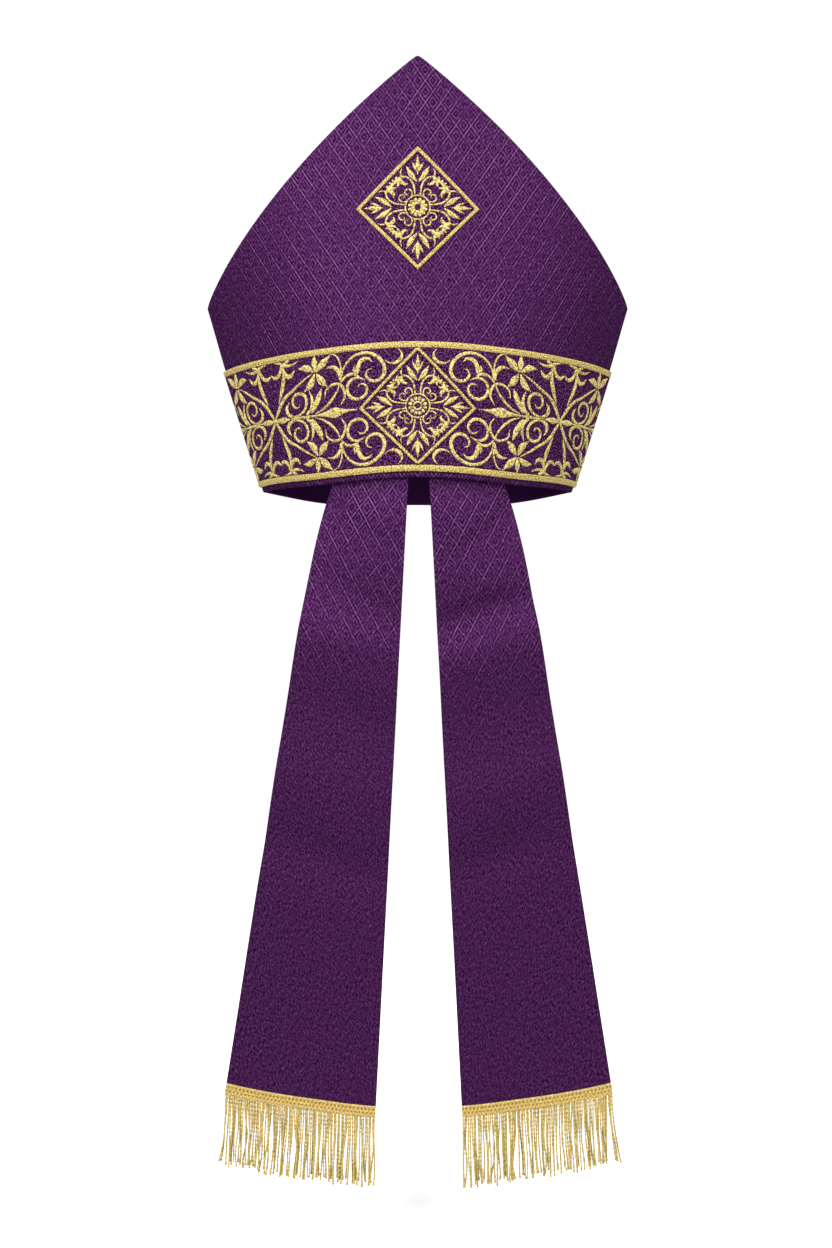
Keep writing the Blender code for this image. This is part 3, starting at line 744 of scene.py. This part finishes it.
# One quarter of the band's design, from the diamond outwards and from the middle line upwards.
BAND_QUARTER = [
    # crescent on the diamond's upper side
    ([(12.2, 36.9), (9.9, 33.8), (10.6, 30.3), (14, 27.9), (18.2, 28.1), (20.6, 30)],
     (0.4, 1.3, 2.6, 2.4, 1.2, 0.4)),
    # large spiral and the leaf inside it
    ([(49.4, 19.8), (47.9, 26.3), (44, 31.8), (38.5, 34.9), (33, 35.5), (27, 33.4), (22.6, 29.3),
      (20.8, 24.3), (21.5, 20.2), (24, 17.6), (27.5, 16.9), (31, 18.4), (32.7, 21.3), (31.9, 24),
      (29, 25.2)],
     (0.9, 1.3, 1.8, 2.2, 2.5, 2.6, 2.6, 2.4, 1.8, 0.5)),
    ([(28.6, 29.2), (31.2, 31.6), (35.2, 31.1), (37.8, 27.4), (38.6, 23.6), (40, 21.4)],
     (0.3, 2.0, 3.0, 3.1, 3.0, 1.0)),
    ([(38.4, 22.6), (40.4, 25.2), (40.2, 28.2)], (1.8, 2.4, 0.3)),
    # small spiral below it, and the stem that carries both
    ([(33.3, 18), (38, 20), (42.5, 18.9), (45.1, 15.3), (44.9, 11.2), (42.4, 7.8), (38.5, 6.4),
      (34.6, 7.4), (32.3, 10.3), (32.1, 13.3), (33.9, 15.4), (36.2, 15.7), (38.2, 14.2)],
     (0.6, 1.8, 2.1, 2.2, 2.3, 2.3, 2.0, 1.4, 0.5)),
    ([(49.6, 18.4), (46.8, 21.3), (43, 22.7), (39.6, 22.2), (36.8, 19.6)], (1.2, 1.7, 2.1, 1.9, 0.9)),
    # loop and crossing line
    ([(61.2, 9.8), (60.2, 14.8), (56.2, 17.6), (51, 17.7), (47.6, 13.8), (47, 8.8), (49.8, 4.2)],
     (0.5, 1.4, 1.8, 2.0, 1.9, 1.6, 0.5)),
    ([(50.4, 17.4), (52, 13.6), (54.8, 9.8), (58.8, 6), (63.6, 3), (69, 1.2)],
     (0.7, 1.4, 1.9, 1.9, 1.3, 0.5)),
    # stem and leaf beside the flower
    ([(49.7, 19.5), (49.4, 26), (50.4, 31.6), (52.9, 35.7), (56, 37), (59.6, 35)],
     (1.0, 1.3, 1.3, 1.1, 0.9, 0.5)),
    ([(50.1, 20), (51, 25), (53.6, 28.2), (56.8, 29), (60, 28.4)], (1.1, 2.3, 2.9, 2.1, 0.3)),
    # five-petalled flower
    ([(68, 27.4), (68.5, 32.5), (68.6, 38)], (0.7, 4.6, 0.5)),
    ([(67.4, 27.2), (62.4, 31.9), (57, 36)], (0.7, 5.4, 0.3)),
    ([(68.8, 27.3), (74.8, 30.6), (81.4, 30.8)], (0.7, 4.8, 0.3)),
    ([(68.4, 26.4), (71.2, 20.6), (76.8, 15.9)], (0.7, 5.2, 0.5)),
    ([(67.2, 26.4), (63.6, 21.4), (59.2, 17.2)], (0.7, 5.4, 0.3)),
    # stem that sweeps from the flower to the crossing
    ([(70.4, 26.6), (78, 22.8), (86, 18.2), (93, 14.6), (98, 10.2), (102, 4.9), (105.3, 0)],
     (0.7, 1.5, 2.0, 2.3, 2.6, 2.8, 1.6)),
    # leaves that rise from the middle line
    ([(63.6, 16.6), (65.4, 12.2), (67.8, 7.4), (72, 2)], (0.3, 4.2, 3.4, 2.4)),
    ([(67.6, 9.6), (71, 6.4), (72.4, 2.4)], (0.4, 2.4, 1.6)),
    ([(73, 16.2), (71, 10.8), (71.6, 5.2), (76, 1)], (0.3, 2.4, 2.8, 2.2)),
    # spiral and crescent beside the crossing
    ([(88.6, 1.2), (82.2, 1.7), (77.4, 4.6), (75.5, 9), (76.4, 13), (79, 15), (82.2, 15.4),
      (85.6, 14.1), (87.3, 11), (86.5, 8), (84.2, 6.6), (81.9, 7), (81, 8.9)],
     (0.7, 1.6, 2.1, 2.3, 2.3, 2.3, 2.1, 1.5, 0.5)),
    ([(90.2, 10.8), (92.7, 7.8), (92.6, 4.2), (89.2, 1.8), (84, 1)], (0.3, 2.7, 3.0, 1.9, 0.8)),
    # fleur at the upper braid: side leaves, scallop and long leaf
    ([(80.8, 36), (85, 34.3), (89, 33.8), (94, 34.6)], (0.2, 1.5, 2.2, 2.4)),
    ([(88.6, 37), (91.6, 36), (95, 33.4)], (1.4, 2.5, 2.2)),
    ([(84.2, 30.8), (86.4, 27.8), (89.6, 27), (92.6, 29.4), (94.2, 33.4)], (0.3, 2.5, 3.2, 2.8, 1.6)),
    ([(95, 35.2), (96.2, 31.4), (99, 28.2), (102.4, 27.6), (105.3, 29.8)], (2.0, 2.6, 2.9, 2.5, 1.0)),
    ([(94, 35.4), (98, 36.4), (102, 36.9)], (2.6, 1.6, 0.4)),
    ([(94.2, 32), (94, 26.2), (95.8, 20), (98, 15), (100.2, 10.6)], (1.0, 3.0, 3.5, 2.5, 0.3)),
]
# What lies on the middle line, from the diamond to the crossing.
BAND_MIDDLE_LINE = [
    ([(38.6, 0), (45, 0), (53.5, 0), (61, 0), (70, 0)], (0.5, 2.6, 7.2, 3.0, 1.0)),
    ([(68, 0), (76, 0), (84, 0), (93, 0)], (1.0, 2.0, 1.4, 0.8)),
    ([(90.6, 0), (97.6, 0), (104.6, 0)], (0.8, 4.4, 1.4)),
]

# An eighth of a diamond's medallion, from the upright to the slanted axis of symmetry.
MEDALLION_EIGHTH = [
    # side leaves of a palmette
    ([(0.4, 23.4), (1.9, 26.4), (3.7, 30.1)], (0.6, 1.8, 0.2)),
    ([(0.3, 16.7), (3.9, 21.2), (7.4, 27.2)], (0.5, 3.7, 0.3)),
    # scroll that rises beside the upright axis, and its tendril
    ([(1.7, 7.6), (2.1, 12), (3.4, 16.4), (6.6, 19.6), (10.8, 20.6)], (0.9, 1.2, 1.3, 1.4, 1.2)),
    ([(10.3, 19.8), (11, 22.6), (10.2, 25.8)], (1.0, 1.1, 0.3)),
    # leafy spray along the diamond's side
    ([(10, 20.4), (12, 18), (14.4, 16.6), (15.9, 15.2)], (1.4, 3.6, 3.0, 1.4)),
    ([(11.8, 18.8), (9.8, 16.2), (8, 15.1), (6.2, 15.5)], (1.6, 2.8, 2.2, 0.6)),
    ([(13, 17.4), (12.4, 15.2), (13.2, 13.4)], (2.0, 2.0, 0.3)),
    ([(12.2, 18), (13.6, 19), (13.5, 20.6)], (1.4, 1.8, 0.4)),
    ([(14, 16.6), (15.7, 17.1), (16.2, 18.4)], (1.4, 1.7, 0.4)),
    # curl beside the rosette
    ([(3.9, 6.9), (3.6, 9.6), (5.2, 11.8), (7.5, 11.4), (8.3, 9.5), (7, 8.2), (5.9, 9.2)],
     (0.8, 1.0, 1.1, 1.1, 1.0, 0.8, 0.4)),
]
MEDALLION_SPEAR = ([(0, 21.6), (0, 28), (0, 34.7)], (0.5, 3.0, 0.2))
ROSETTE_PETALS = 12
ROSETTE_BEADS = 24


def circle(radius, width, lobes=0):
    """A ring as two strokes that overlap at both ends; lobes make it swell that many times."""
    halves = []
    for start in (0, np.pi):
        angle = start + np.linspace(-0.06, np.pi + 0.06, 25)
        beads = width * (1 + (0.22 * np.cos(lobes * angle) if lobes else 0 * angle))
        halves.append((radius * together(np.cos(angle), np.sin(angle)), tuple(beads)))
    return halves


def medallion(scale, ringed):
    """All strokes of a diamond's ornament. The eighth is repeated by swapping and changing its signs.

    A ringed rosette has a plain ring round its eye. The other has long petals out from the eye.
    """
    strokes = []
    for across in (-1, 1):
        for up in (-1, 1):
            strokes += mirrored(MEDALLION_EIGHTH, across, up)
            swapped = [(np.asarray(points)[:, ::-1], widths) for points, widths in MEDALLION_EIGHTH]
            strokes += mirrored(swapped, across, up)
    points, widths = MEDALLION_SPEAR
    for sign in (-1, 1):
        strokes += mirrored([(points, widths)], 1, sign)
        strokes += mirrored([(np.asarray(points)[:, ::-1], widths)], sign, 1)
    angles = (np.arange(ROSETTE_PETALS) + 0.5) * 2 * np.pi / ROSETTE_PETALS
    reach = np.array([3.4 if ringed else 2.0, 4.6, 6.3])
    petal = (0.8, 2.6, 2.2)
    for angle in angles:
        strokes.append((reach[:, None] * np.array([np.cos(angle), np.sin(angle)]), petal))
    strokes += circle(7.9, 1.1, ROSETTE_BEADS)
    strokes += circle(2.5, 1.3 if ringed else 1.0)
    return [(np.asarray(points, float) * scale, [width * scale for width in widths])
            for points, widths in strokes]


def sagging(strokes):
    """The same strokes, drawn lower by a parabola across the band, which grows beyond the diamond."""
    hung = []
    for points, widths in strokes:
        points = np.array(points, float)
        reach = smooth_step((points[:, 0] - SAG_START) / SAG_RUN)
        depth = SAG * reach * (1 - (points[:, 1] / BAND_HALF_HEIGHT) ** 2)
        hung.append((points - together(0, depth), widths))
    return hung


def satin_stitch_finish():
    """Gold thread laid side by side across each stroke: bright ribs with brown lines between."""
    finish, tree, shader = start_material("gold satin stitch", 0.42, 0.12)
    cloth = add_node(tree, "UVMap", uv_map="cloth")
    place = add_node(tree, "TexCoord")
    # Threads about 0.3 mm thick, drawn at 0.7 mm so that they show.
    threads = add_node(tree, "TexWave", {
        "Vector": cloth, "Scale": 0.45, "Distortion": 0.7, "Detail": 1.0,
    }, wave_type="BANDS", bands_direction="X")
    grain = add_node(tree, "TexNoise", {"Vector": place.outputs["Object"], "Scale": 1000.0, "Detail": 1.0})
    specks = add_node(tree, "Math", {0: grain, 1: 2.6, 2: -0.82}, operation="MULTIPLY_ADD")
    tone = add_node(tree, "Math", {0: threads, 1: 0.35, 2: specks}, operation="MULTIPLY_ADD")
    colour = add_node(tree, "ValToRGB", {"Fac": tone}, stops=(
        (0.34, "#4e3c20"), (0.54, "#857345"), (0.72, "#9f9155"), (0.95, "#b3a865")))
    finish_with(tree, shader, colour, threads, 0.45, 0.0002)
    return finish


satin_stitch = satin_stitch_finish()
half_design = []
for up in (-1, 1):
    half_design += mirrored(BAND_QUARTER, 1, up)
half_design += BAND_MIDDLE_LINE
turned_back = [
    ((points - (CROSSING, 0)) * (TURNED_BACK_STRETCH, 1) + (CROSSING, 0), widths)
    for points, widths in mirrored(half_design, -1, 1, CROSSING) if points[:, 0].min() < BEYOND_SEAM
]
band_design = []
for across in (-1, 1):
    band_design += mirrored(sagging(half_design + turned_back), across, 1)
seam_line = [
    (length_across(1, BAND_MIDDLE + rise * MM) / MM - SEAM_MARGIN, rise)
    for rise in (-BAND_HALF_HEIGHT, BAND_HALF_HEIGHT)
]
for side_name, side in SIDES:
    scrolls = embroider(f"band_scrollwork_{side_name}", band_design, satin_stitch, seam_line)
    lay_on_cloth(scrolls, side, BAND_MIDDLE, GAP + BAND_THICKNESS)
    crown_work = embroider(f"crown_medallion_{side_name}", medallion(1.0, False), satin_stitch)
    lay_on_cloth(crown_work, side, CROWN_DIAMOND_HEIGHT, GAP + PATCH_THICKNESS)
    band_work = embroider(f"band_medallion_{side_name}", medallion(BAND_MEDALLION_SCALE, True), satin_stitch)
    lay_on_cloth(band_work, side, BAND_MIDDLE, GAP + BAND_THICKNESS)
    for work in (scrolls, crown_work, band_work):
        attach(work, "root")


# ================================================================ the lappets
# Two long strips of the same brocade, faced behind with lining and sewn inside the rim at the back. They
# widen to a slanted end and hang almost flat, with soft swells.

LAPPET_TUCK = 0.012             # how far it reaches up inside the rim
LAPPET_INNER_DROP = 0.3911      # of its lower end below the rim, at its inner edge
LAPPET_OUTER_DROP = 0.3785
LAPPET_END_SAG = 0.0024
LAPPET_INNER_TOP = 0.0058       # from the middle to its inner edge, at the rim
LAPPET_OUTER_TOP = 0.0542
LAPPET_INNER_SPREAD = 0.0515    # how far an edge runs outwards for each metre down
LAPPET_OUTER_SPREAD = 0.157
LAPPET_FLARE = 0.006
LAPPET_FLARE_DROP = 0.030
LAPPET_THICKNESS = 0.0016
LAPPET_UNROLL = 0.110           # drop over which it loses the rim's curve
LAPPET_ROLL_LEFT = 0.25         # share of that curve which it keeps
LAPPET_EASING = 0.006           # width over which the curve eases into a level line
LAPPET_EASING_AT_RIM = 0.0001
LAPPET_EASING_DROP = 0.04
LAPPET_SHIFT = 0.0013           # how much further out the right one hangs
LAPPET_COLUMNS = 36
LAPPET_ROWS = 240

LAPPET_LEAN = np.radians(5.95)  # of its middle line, and of its weave, outwards from the upright
LAPPET_SLANT = 0.018            # by which its folds lie lower at its inner edge than at its outer edge
LAPPET_SLANT_DROP = 0.05
CREASE_FADE = 3.5               # half widths over which a crease dies away to both sides
LAPPET_HANG = (
    # drop,  left,    right: how far it stands out from the rim's inner wall
    (0.000, 0.0000, 0.0000),
    (0.004, 0.0000, 0.0000),
    (0.018, 0.0034, 0.0034),
    (0.038, 0.0052, 0.0050),
    (0.054, 0.0060, 0.0063),
    (0.070, 0.0053, 0.0056),
    (0.084, 0.0062, 0.0034),
    (0.104, 0.0096, 0.0088),
    (0.122, 0.0088, 0.0090),
    (0.146, 0.0064, 0.0062),
    (0.172, 0.0074, 0.0072),
    (0.192, 0.0094, 0.0098),
    (0.216, 0.0080, 0.0084),
    (0.238, 0.0054, 0.0056),
    (0.262, 0.0084, 0.0069),
    (0.300, 0.0092, 0.0082),
    (0.345, 0.0084, 0.0082),
    (0.400, 0.0090, 0.0084),
)
LAPPET_CREASES = (
    # hand, drop, place across, drop from inner to outer edge, length as a share, half width, depth
    (LEFT, 0.0287, 0.45, -0.038, 0.35, 0.0040, 0.0005),
    (LEFT, 0.0755, 0.25, -0.028, 0.35, 0.0040, 0.0006),
    (LEFT, 0.1420, 0.25, -0.050, 0.35, 0.0100, 0.0010),
    (LEFT, 0.2320, 0.40, -0.045, 0.50, 0.0080, 0.0009),
    (RIGHT, 0.0388, 0.38, -0.040, 0.35, 0.0040, 0.0006),
    (RIGHT, 0.0759, 0.43, -0.023, 0.40, 0.0045, 0.0008),
    (RIGHT, 0.1020, 0.42, -0.027, 0.40, 0.0050, -0.0005),
    (RIGHT, 0.1218, 0.42, -0.020, 0.40, 0.0050, 0.0006),
    (RIGHT, 0.1367, 0.23, -0.015, 0.20, 0.0030, -0.0003),
    (RIGHT, 0.2222, 0.40, -0.038, 0.45, 0.0080, 0.0010),
    (RIGHT, 0.2433, 0.50, -0.033, 0.35, 0.0060, -0.0008),
)


def creases(hand, share, drop):
    """How far short creases set the cloth back: a step across each one's line, a hyperbolic tangent, that
    dies away like a bell along the line and to both sides."""
    total = 0 * drop
    for side, down, across, slope, length, half, depth in LAPPET_CREASES:
        if side == hand:
            off = (drop - down - slope * (share - across)) / half
            bell = np.exp(-((share - across) / length) ** 2 - (off / CREASE_FADE) ** 2)
            total = total + depth * np.tanh(off) * bell
    return total


def inner_wall(x, height):
    """Depth of the rim's inner wall at this x, found by turning the arc's sine back to a place across."""
    across = x / half_width(height)
    for _ in range(12):
        run, rise = section_slope(across, height)
        out_x = -rise / np.hypot(run, rise)
        sine = (x + (PANEL_WALL + GAP) * out_x) * np.sin(BEND) / half_width(height)
        across = np.arcsin(np.clip(sine, -1, 1)) / BEND
    return panel_point(BACK, across, height, -PANEL_WALL - GAP)[..., 1]


def lappet_point(hand, share, drop, inwards=0.0):
    """A point of a lappet's back face, from 0 at its inner edge to 1 at its outer edge.

    Its edges run straight apart, the outer one with a quick flare below the rim. Its depth is the rim's
    inner wall, unrolled on the way down and eased into a level line where the rim would end, less the
    standing off, which is read at a slanted drop.
    """
    below = np.maximum(drop, 0)
    inner = LAPPET_INNER_TOP + LAPPET_INNER_SPREAD * below
    flare = LAPPET_FLARE * (1 - np.exp(-below / LAPPET_FLARE_DROP))
    outer = LAPPET_OUTER_TOP + LAPPET_OUTER_SPREAD * below + flare
    x = inner + share * (outer - inner) + (LAPPET_SHIFT if hand == RIGHT else 0)
    height = np.maximum(-drop, 0)
    easing = LAPPET_EASING_AT_RIM + LAPPET_EASING * smooth_step(drop / LAPPET_EASING_DROP)
    reach = -easing * np.logaddexp(-x / easing, -(LAPPET_OUTER_TOP + LAPPET_FLARE) / easing)
    rolled = inner_wall(reach, height)
    middle = inner_wall(0 * x, height)
    roll = 1 - (1 - LAPPET_ROLL_LEFT) * smooth_step(drop / LAPPET_UNROLL)
    table = np.array(LAPPET_HANG)
    slanted = drop + LAPPET_SLANT * (share - 0.5) * smooth_step(drop / LAPPET_SLANT_DROP)
    stand_off = read_smoothly(table[:, 0], table[:, 1 if hand == LEFT else 2], slanted)
    y = middle + roll * (rolled - middle) - stand_off + creases(hand, share, drop) + inwards
    return together(hand * x, y, -drop)


def lappet_bottom(share):
    """Drop of a lappet's slanted lower end: a straight line from inner to outer edge, and a shallow sag."""
    straight = LAPPET_INNER_DROP + (LAPPET_OUTER_DROP - LAPPET_INNER_DROP) * share
    return straight + 4 * LAPPET_END_SAG * share * (1 - share)


def lappet_cloth(hand, share, drop):
    """Cloth coordinates in millimetres: x and z turned by the lean, so that the weave follows the strip."""
    x, lean = lappet_point(hand, share, drop)[..., 0], hand * LAPPET_LEAN
    across = x * np.cos(lean) - drop * np.sin(lean)
    return together(across, -x * np.sin(lean) - drop * np.cos(lean)) / MM


lappet_share = lines_with_edges(0, 1, LAPPET_COLUMNS, 0.013)
lappet_down = lines_with_edges(0, 1, LAPPET_ROWS, 0.003)[:, None]
lappet_drop = -LAPPET_TUCK + lappet_down * (lappet_bottom(lappet_share) + LAPPET_TUCK)
lappets = {}
for hand_name, hand in HANDS:
    width = np.ptp(lappet_point(hand, lappet_share, lappet_drop)[..., 0], axis=1, keepdims=True)
    edge = turned_in(np.minimum(lappet_share, 1 - lappet_share) * width, LAPPET_THICKNESS / 2)
    lappets[hand_name] = closed_cloth(
        f"lappet_{hand_name}_cloth",
        lappet_point(hand, lappet_share, lappet_drop, edge),
        lappet_point(hand, lappet_share, lappet_drop, LAPPET_THICKNESS - edge),
        lappet_cloth(hand, lappet_share, lappet_drop), [brocade, lining])
    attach(lappets[hand_name], "root")
    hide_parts(f"lappet_{hand_name}")


# ================================================================ the fringes
# A woven gold heading with a rolled upper border and rows of eyelets is sewn across the end of each
# lappet. Two-ply twisted rayon cords hang from it, a little tangled and frayed.

FRINGE_HEADING = 0.0073
FRINGE_HEADING_THICKNESS = 0.0022
FRINGE_LENGTH = 0.051
EYELET_PITCH = 2.4              # mm
EYELET_RADIUS = 0.68            # mm
EYELET_ROWS = (
    # mm below the heading's top, shift along it as a share of the pitch, depth as a share
    (2.3, 0.0, 1.0),
    (4.6, 0.5, 0.8),
    (6.9, 0.0, 0.5),
)
EYELET_DEPTH = 0.00045
HEADING_ROLL = 0.00024          # height of the rolled upper border
HEADING_PLAIT = 0.00012         # and of the slanting threads
HEADING_COLUMNS = 330
HEADING_ROWS = 24
CORDS = 84                      # in each fringe
CORD_RADIUS = 0.00052
CORDS_IN_GROUP = 2.7            # that hang together, on average
GROUP_LEAN = 0.0007             # spread of the groups' tips sideways
CORD_LEAN = 0.0005              # spread of a cord's tip within its group
CORD_LEAN_DEPTH = 0.0011        # the same, to and from the lappet
CORD_SWAY = 0.0006              # spread of the slow wander
CORD_PULL = 0.15                # share of the way to its group's middle that a tip is drawn
CORD_UNEVEN = (-0.0030, 0.0012)         # range of what is added to a cord's length
CORD_TWIST = 0.0026             # a full turn of the two plies; about 1.5 mm, drawn coarser so it shows
CORD_PLY_RELIEF = 0.14          # share of its radius by which the plies swell it
CORD_UNLIKE = 0.12              # share by which one cord's radius differs from another's
CORD_FRAY = 0.35                # share by which its last twentieth widens
CORD_SINK = 0.0008              # how far it starts inside the heading
CORD_STEPS = 50
CORD_SIDES = 8


def heading_finish():
    """Gold rayon, woven: pale grains, darker between the threads, and brown painted shade in the eyelets."""
    finish, tree, shader = start_material("gold fringe heading", 0.5, 0.12)
    cloth = add_node(tree, "UVMap", uv_map="cloth")
    grain = add_node(tree, "TexNoise", {"Vector": cloth, "Scale": 1.0, "Detail": 2.0, "Roughness": 0.7})
    # Painted shade: the eyelets' dents are darkened to brown.
    dent = add_node(tree, "Attribute", attribute_name="eyelet")
    tone = add_node(tree, "Math", {0: dent.outputs["Fac"], 1: -0.42, 2: grain}, operation="MULTIPLY_ADD")
    colour = add_node(tree, "ValToRGB", {"Fac": tone}, stops=(
        (0.04, "#523b12"), (0.32, "#846a31"), (0.50, "#9a8449"), (0.66, "#bbab77")))
    finish_with(tree, shader, colour, grain, 0.5, 0.0002)
    return finish


gold_heading = heading_finish()
gold_cord = gold_weave_finish("gold fringe cord", "#705c29", "#988346", "#ae9b61", 0.9)

heading_share = lines_with_edges(0, 1, HEADING_COLUMNS, 0.012)
heading_down = lines_with_edges(0, 1, HEADING_ROWS, 0.06)[:, None]
for hand_name, hand in HANDS:
    drop = lappet_bottom(heading_share) + GAP + heading_down * FRINGE_HEADING
    run = lappet_cloth(hand, heading_share, drop)[..., 0]
    below_top = heading_down * FRINGE_HEADING / MM + 0 * run
    # An eyelet is a bell-shaped dent. The border is a roll, and slanting threads plait in between.
    eyelet = np.zeros(run.shape)
    for from_top, shift, depth in EYELET_ROWS:
        along = ((run / EYELET_PITCH + shift) % 1 - 0.5) * EYELET_PITCH
        eyelet += depth * np.exp(-(along ** 2 + (below_top - from_top) ** 2) / EYELET_RADIUS ** 2)
    roll = np.exp(-((below_top - 0.6) / 0.45) ** 2)
    plait = np.cos(2 * np.pi * (run / EYELET_PITCH + np.abs(below_top - 3.8) / 2.5))
    edge = turned_in(np.minimum(heading_down, 1 - heading_down) * FRINGE_HEADING, 0.0007)
    relief = HEADING_ROLL * roll + HEADING_PLAIT * plait - EYELET_DEPTH * eyelet
    half = FRINGE_HEADING_THICKNESS / 2 - 0.0003 + relief - edge
    centre = LAPPET_THICKNESS / 2
    heading = closed_cloth(
        f"fringe_heading_{hand_name}",
        lappet_point(hand, heading_share, drop, centre - half),
        lappet_point(hand, heading_share, drop, centre + half),
        together(run, -below_top), [gold_heading])
    dents = heading.data.attributes.new("eyelet", "FLOAT", "POINT")
    dents.data.foreach_set("value", np.tile(eyelet.ravel(), 2).astype(np.float32))

    # All cords at once, as an array of cords by steps by sides. A cord's line falls straight, with a
    # lean, a pull towards its neighbours and a slow wander that all grow on the way down.
    random = np.random.default_rng(11 + hand)
    cord_share = (np.arange(CORDS) + 0.5) / CORDS + random.uniform(-0.2, 0.2, CORDS) / CORDS
    cord_share = np.clip(cord_share, 0.006, 0.994)
    length = FRINGE_LENGTH - FRINGE_HEADING + random.uniform(*CORD_UNEVEN, CORDS)
    behind = centre + random.uniform(-0.0004, 0.0004, CORDS)
    start_drop = lappet_bottom(cord_share) + GAP + FRINGE_HEADING - CORD_SINK
    start = lappet_point(hand, cord_share, start_drop, behind)
    down = np.linspace(0, 1, CORD_STEPS)
    group = np.floor(np.arange(CORDS) / CORDS_IN_GROUP + random.uniform(0, 0.7, CORDS))
    group_lean = random.normal(0, GROUP_LEAN, int(group.max()) + 1)[group.astype(int)]
    group_middle = np.array([start[group == one, 0].mean() for one in group])
    # The tips spread outwards, most of all those of the last few cords.
    splay = hand * (0.0008 + 0.0016 * cord_share + 0.0035 * np.maximum(cord_share - 0.96, 0) / 0.04)
    pull = CORD_PULL * (group_middle - start[:, 0])
    lean = splay + group_lean + pull + random.normal(0, CORD_LEAN, CORDS)
    lean_y = random.normal(0, CORD_LEAN_DEPTH, CORDS)
    sway = random.normal(0, CORD_SWAY, (2, CORDS, 1))
    speed = random.uniform(0.6, 1.3, (2, CORDS, 1))
    phase = random.uniform(0, 2 * np.pi, (2, CORDS, 1))
    wander = sway * down * (np.sin(2 * np.pi * speed * down + phase) - np.sin(phase))
    line = together(
        start[:, :1] + lean[:, None] * down ** 1.6 + wander[0],
        start[:, 1:2] + lean_y[:, None] * down ** 1.5 + wander[1],
        start[:, 2:] - length[:, None] * down)
    angle = np.linspace(0, 2 * np.pi, CORD_SIDES, endpoint=False)
    fallen = (length[:, None] * down)[..., None]
    plies = np.cos(2 * (angle - 2 * np.pi * fallen / CORD_TWIST / 2) + 6.28 * cord_share[:, None, None])
    unlike = random.uniform(1 - CORD_UNLIKE, 1 + CORD_UNLIKE, (CORDS, 1, 1))
    radius = CORD_RADIUS * (1 + CORD_PLY_RELIEF * plies) * unlike
    radius = radius * (1 + CORD_FRAY * smooth_step((down - 0.95) / 0.05))[:, None]
    points = line[:, :, None, :] + radius[..., None] * together(np.cos(angle), np.sin(angle), 0)
    index = np.arange(points[..., 0].size).reshape(points.shape[:3])
    skin = quads(np.pad(index, ((0, 0), (0, 0), (0, 1)), mode="wrap"))
    caps = index[:, 0, ::-1].tolist() + index[:, -1].tolist()
    uv = together(cord_share[:, None, None] * 900 + angle * CORD_RADIUS / MM, -fallen / MM)
    cords = point_outwards(make_piece(
        f"fringe_cords_{hand_name}", points.reshape(-1, 3), skin.tolist() + caps,
        uv.reshape(-1, 2), [gold_cord]))
    for piece in (heading, cords):
        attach(piece, "root")
    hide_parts(f"fringe_{hand_name}")


# ================================================================ floor, light and camera
# A white paper floor under the mitre, an even white surround, and two large soft lamps high on the
# camera's side, one on each hand. The camera looks level at the mitre's back, from just below the rim.

FLOOR_HEIGHT = -0.490
FLOOR_RADIUS = 6
SURROUND_STRENGTH = 1.05
LAMP_SPREAD = np.radians(80)
LAMPS_AIM = (0, -0.09, 0)
CAMERA_PLACE = (-0.0011, -0.824, -0.092)
CAMERA_LENS = 33.95             # mm, for a picture 36 mm high


def paper_finish():
    """Matt white paper with the faintest cloudiness."""
    finish, tree, shader = start_material("white paper", 0.9)
    place = add_node(tree, "TexCoord")
    cloudy = add_node(tree, "TexNoise", {"Vector": place.outputs["Object"], "Scale": 3.0, "Detail": 2.0})
    colour = add_node(tree, "ValToRGB", {"Fac": cloudy}, stops=((0.3, "#fafafa"), (0.7, "#fdfdfd")))
    tree.links.new(colour.outputs[0], shader.inputs["Base Color"])
    return finish


ring = np.linspace(0, 2 * np.pi, 96, endpoint=False)
disc = together(FLOOR_RADIUS * np.cos(ring), FLOOR_RADIUS * np.sin(ring), FLOOR_HEIGHT)
floor = make_piece("floor", disc, [list(range(len(disc)))], disc[:, :2], [paper_finish()])

world = bpy.data.worlds.new("white surround")
world.use_nodes = True
world.node_tree.nodes["Background"].inputs["Color"].default_value = (1, 1, 1, 1)
world.node_tree.nodes["Background"].inputs["Strength"].default_value = SURROUND_STRENGTH
bpy.context.scene.world = world

LAMPS = (
    # name, place, size, watts
    ("soft lamp high on the left", (-0.60, -0.80, 0.80), 0.7, 6),
    ("soft lamp high on the right", (0.60, -0.80, 0.80), 0.7, 4.5),
)
for name, place, size, watts in LAMPS:
    lamp = bpy.data.lights.new(name, "AREA")
    lamp.size = size
    lamp.spread = LAMP_SPREAD
    lamp.energy = watts
    lamp_object = bpy.data.objects.new(name, lamp)
    lamp_object.location = place
    towards = np.array(LAMPS_AIM) - np.array(place)
    yaw = np.arctan2(towards[0], -towards[1])
    pitch = np.arctan2(np.hypot(towards[0], towards[1]), -towards[2])
    lamp_object.rotation_euler = (pitch, 0, yaw + np.pi)
    bpy.context.scene.collection.objects.link(lamp_object)

camera = bpy.data.cameras.new("camera")
camera.lens = CAMERA_LENS
camera.sensor_width = 36
camera_object = bpy.data.objects.new("camera", camera)
camera_object.location = CAMERA_PLACE
camera_object.rotation_euler = (np.pi / 2, 0, 0)
bpy.context.scene.collection.objects.link(camera_object)
bpy.context.scene.camera = camera_object
bpy.context.scene.view_settings.view_transform = "Standard"
